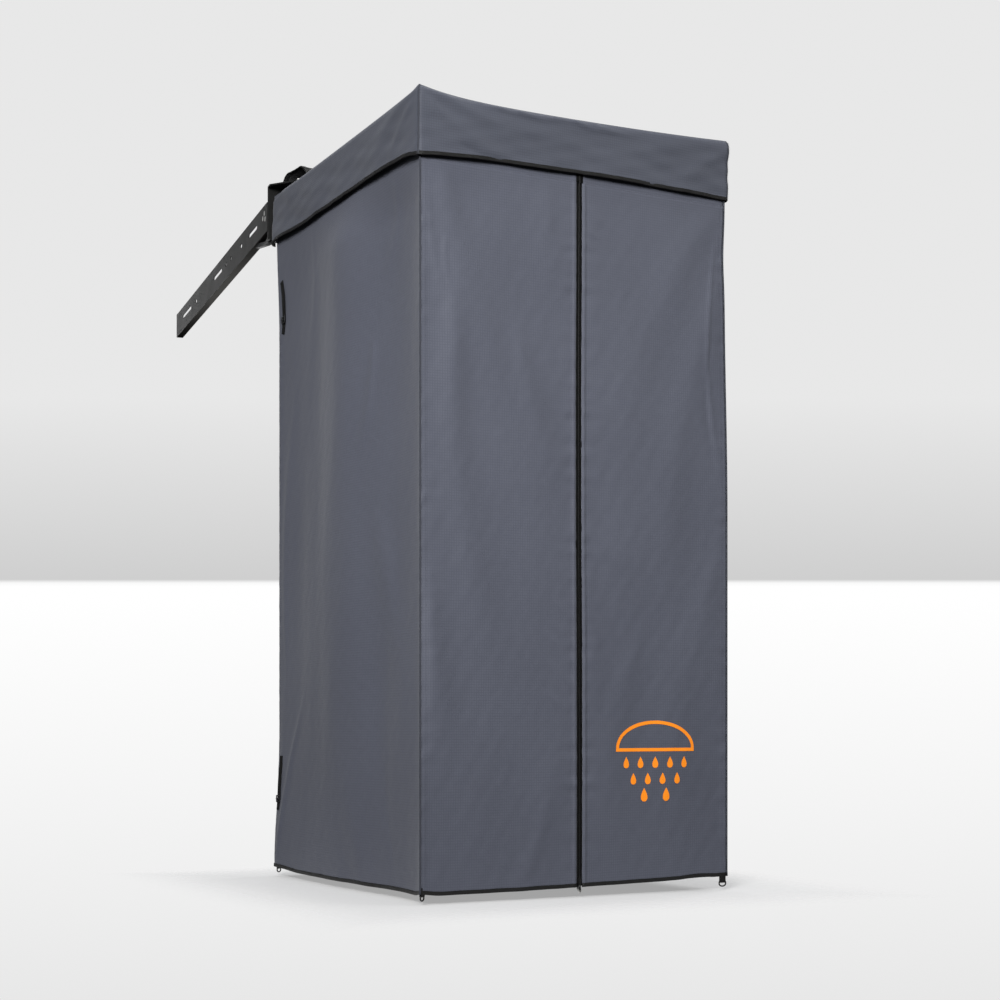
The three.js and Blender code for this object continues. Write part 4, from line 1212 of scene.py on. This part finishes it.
def inked_drop(name, x, z, tall):
    """A printed water drop, point up."""
    t = np.linspace(0.0, 2.0 * math.pi, 40, endpoint=False)
    outline = np.column_stack([x + 0.375 * tall * np.sin(t) * np.sin(t / 2) ** 1.3, z + tall / 2 * np.cos(t)])
    heart = np.array([x, z - tall * 0.12])
    return inked(name, np.stack([heart + (outline - heart) * k for k in (0.04, 0.5, 1.0)]), True)


half = PRINT_WIDE / 2
dome = [(PRINT_X + (half - LINE_WIDE / 2) * math.cos(a), PRINT_Z + 0.038 + 0.076 * math.sin(a))
        for a in np.linspace(0.0, math.pi, 60)]
bar = [(x, PRINT_Z + 0.033) for x in np.linspace(PRINT_X - half, PRINT_X + half, 50)]
ink = [inked_strip("ink_dome", dome), inked_strip("ink_bar", bar)]
for count, pitch, z, tall in DROP_ROWS:
    for k in range(count):
        x = PRINT_X + (k - (count - 1) / 2) * pitch
        ink.append(inked_drop(f"ink_drop_{len(ink)}", x, PRINT_Z + z, tall))
hang(joined("shower_print", ink), "door_right", "slate_cloth")

# ---- metal parts: the CAD's own shapes, with their edges eased and their finishes on ----
FINISHES = {
    "backing_channel": CHANNEL, "hub_bracket": STEEL, "hub_brace": STEEL,
    **dict.fromkeys(("pivot_bolt", "pivot_nut", "channel_bolt_1", "channel_bolt_2", "channel_bolt_3"), ZINC),
}
for name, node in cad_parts.items():
    finish = ALUMINIUM if name.endswith("_tube") else FINISHES.get(name, PLASTIC)
    node.data.materials.clear()
    node.data.materials.append(finish)
    if not node.hide_render:
        soften(node, 0.0008 if name in FINISHES else 0.0012)

# ---- floor, light and backdrop ----
FLOOR_DROP = 0.035  # the tent hangs this far over the floor
spot = (FOOT[0] + 0.5, FOOT[1] + 0.5, FOOT[2] - FLOOR_DROP)
bpy.ops.mesh.primitive_circle_add(vertices=96, radius=1.5, fill_type="NGON", location=spot)
floor = bpy.context.object
floor.name = "floor"
n = Nodes(bpy.data.materials.new("pale_floor"))
place = solid_coordinates(n)
speck = n.noise(place, 0.4, 2.0)
sides = n.make("ShaderNodeSeparateXYZ", {"Vector": place})
away = n.math("MAXIMUM", n.math("ABSOLUTE", sides.outputs["X"]), n.math("ABSOLUTE", sides.outputs["Y"]))
fade_range = {"Value": away, "From Min": 0.60, "From Max": 1.0, "To Min": 1.0, "To Max": 0.0}
fade = n.make("ShaderNodeMapRange", fade_range, interpolation_type="SMOOTHSTEP").outputs[0]
n.set(Base_Color=n.mix(speck, (0.42, 0.42, 0.42), (0.44, 0.44, 0.44)), Roughness=0.7, Specular_IOR_Level=0.0,
      Emission_Color=(1.0, 1.0, 1.0, 1.0), Emission_Strength=0.36, Alpha=fade)
floor.data.materials.append(n.owner)
floor.visible_diffuse = False

# Area lights: place, what each points at, the side of its square, its watts and its spread in degrees.
for name, spot, aim, size, watts, spread in (
        ("key", (-3.9, -4.7, 3.6), (0.3, 0.2, 1.25), 2.0, 67.0, 60.0),
        ("side", (3.2, -2.6, 3.6), (0.6, 0.0, 1.7), 1.4, 12.0, 120.0),
        ("overhead", (0.5, 0.2, 4.6), (0.5, 0.5, 0.0), 2.0, 45.0, 180.0),
        ("back", (1.0, 4.2, 3.0), (0.4, 0.9, 1.4), 2.0, 40.0, 180.0),
        ("under", (0.05, 2.1, -1.6), (0.05, 2.0, 2.1), 0.8, 9.0, 18.0),
        ("right", (4.4, 1.6, 2.6), (1.0, 0.5, 1.2), 1.6, 55.0, 180.0)):
    data = bpy.data.lights.new(name, "AREA")
    data.shape = "RECTANGLE"
    data.size = data.size_y = size
    data.energy = watts
    data.spread = math.radians(spread)
    lamp = placed(name, data)
    lamp.location = Vector(FOOT) + Vector(spot)
    lamp.rotation_euler = (Vector(aim) - Vector(spot)).to_track_quat("-Z", "Y").to_euler()

# The backdrop is a square room: a white floor up to a line on its walls, and grey walls above it.
world = bpy.data.worlds.new("studio")
bpy.context.scene.world = world
w = Nodes(world)
w.tree.nodes.clear()
ahead = w.make("ShaderNodeTexCoord").outputs["Generated"]
climb = w.make("ShaderNodeSeparateXYZ", {"Vector": ahead}).outputs["Z"]
turn_x, turn_y = math.sin(CAMERA_TURN), math.cos(CAMERA_TURN)
walls_away = [w.make("ShaderNodeVectorMath", {0: ahead, 1: way}, operation="DOT_PRODUCT").outputs["Value"]
              for way in ((turn_x, turn_y, 0.0), (turn_y, -turn_x, 0.0))]
slope = w.math("DIVIDE", climb, w.math("MAXIMUM", *(w.math("ABSOLUTE", way) for way in walls_away)))
LOW_SLOPE, HIGH_SLOPE = -0.16, 0.34
WALL_LINE = 0.0821
slope_range = {"Value": slope, "From Min": LOW_SLOPE, "From Max": HIGH_SLOPE}
spread = w.make("ShaderNodeMapRange", slope_range).outputs[0]
# How bright the backdrop is at each slope above or below the camera.
BRIGHTNESS = ((LOW_SLOPE, 0.80), (-0.041, 0.905), (0.0725, 1.0), (WALL_LINE, 1.0), (WALL_LINE + 0.0006, 0.62),
              (0.187, 0.805), (HIGH_SLOPE, 0.806))
stops = [((place - LOW_SLOPE) / (HIGH_SLOPE - LOW_SLOPE), (grey,) * 3) for place, grey in BRIGHTNESS]
band = w.ramp(spread, *stops)
seen = w.make("ShaderNodeBackground", {"Color": band, "Strength": 1.0})
lighting = w.ramp(spread, (0.28, (0.10, 0.10, 0.10)), (0.34, (0.95, 0.97, 1.0)))
lit = w.make("ShaderNodeBackground", {"Color": lighting, "Strength": 0.30})
by_camera = w.make("ShaderNodeLightPath").outputs["Is Camera Ray"]
both = w.make("ShaderNodeMixShader", {0: by_camera, 1: lit.outputs[0], 2: seen.outputs[0]})
w.make("ShaderNodeOutputWorld", {"Surface": both.outputs[0]})
bpy.context.scene.view_settings.view_transform = "Standard"
bpy.context.scene.view_settings.look = "None"
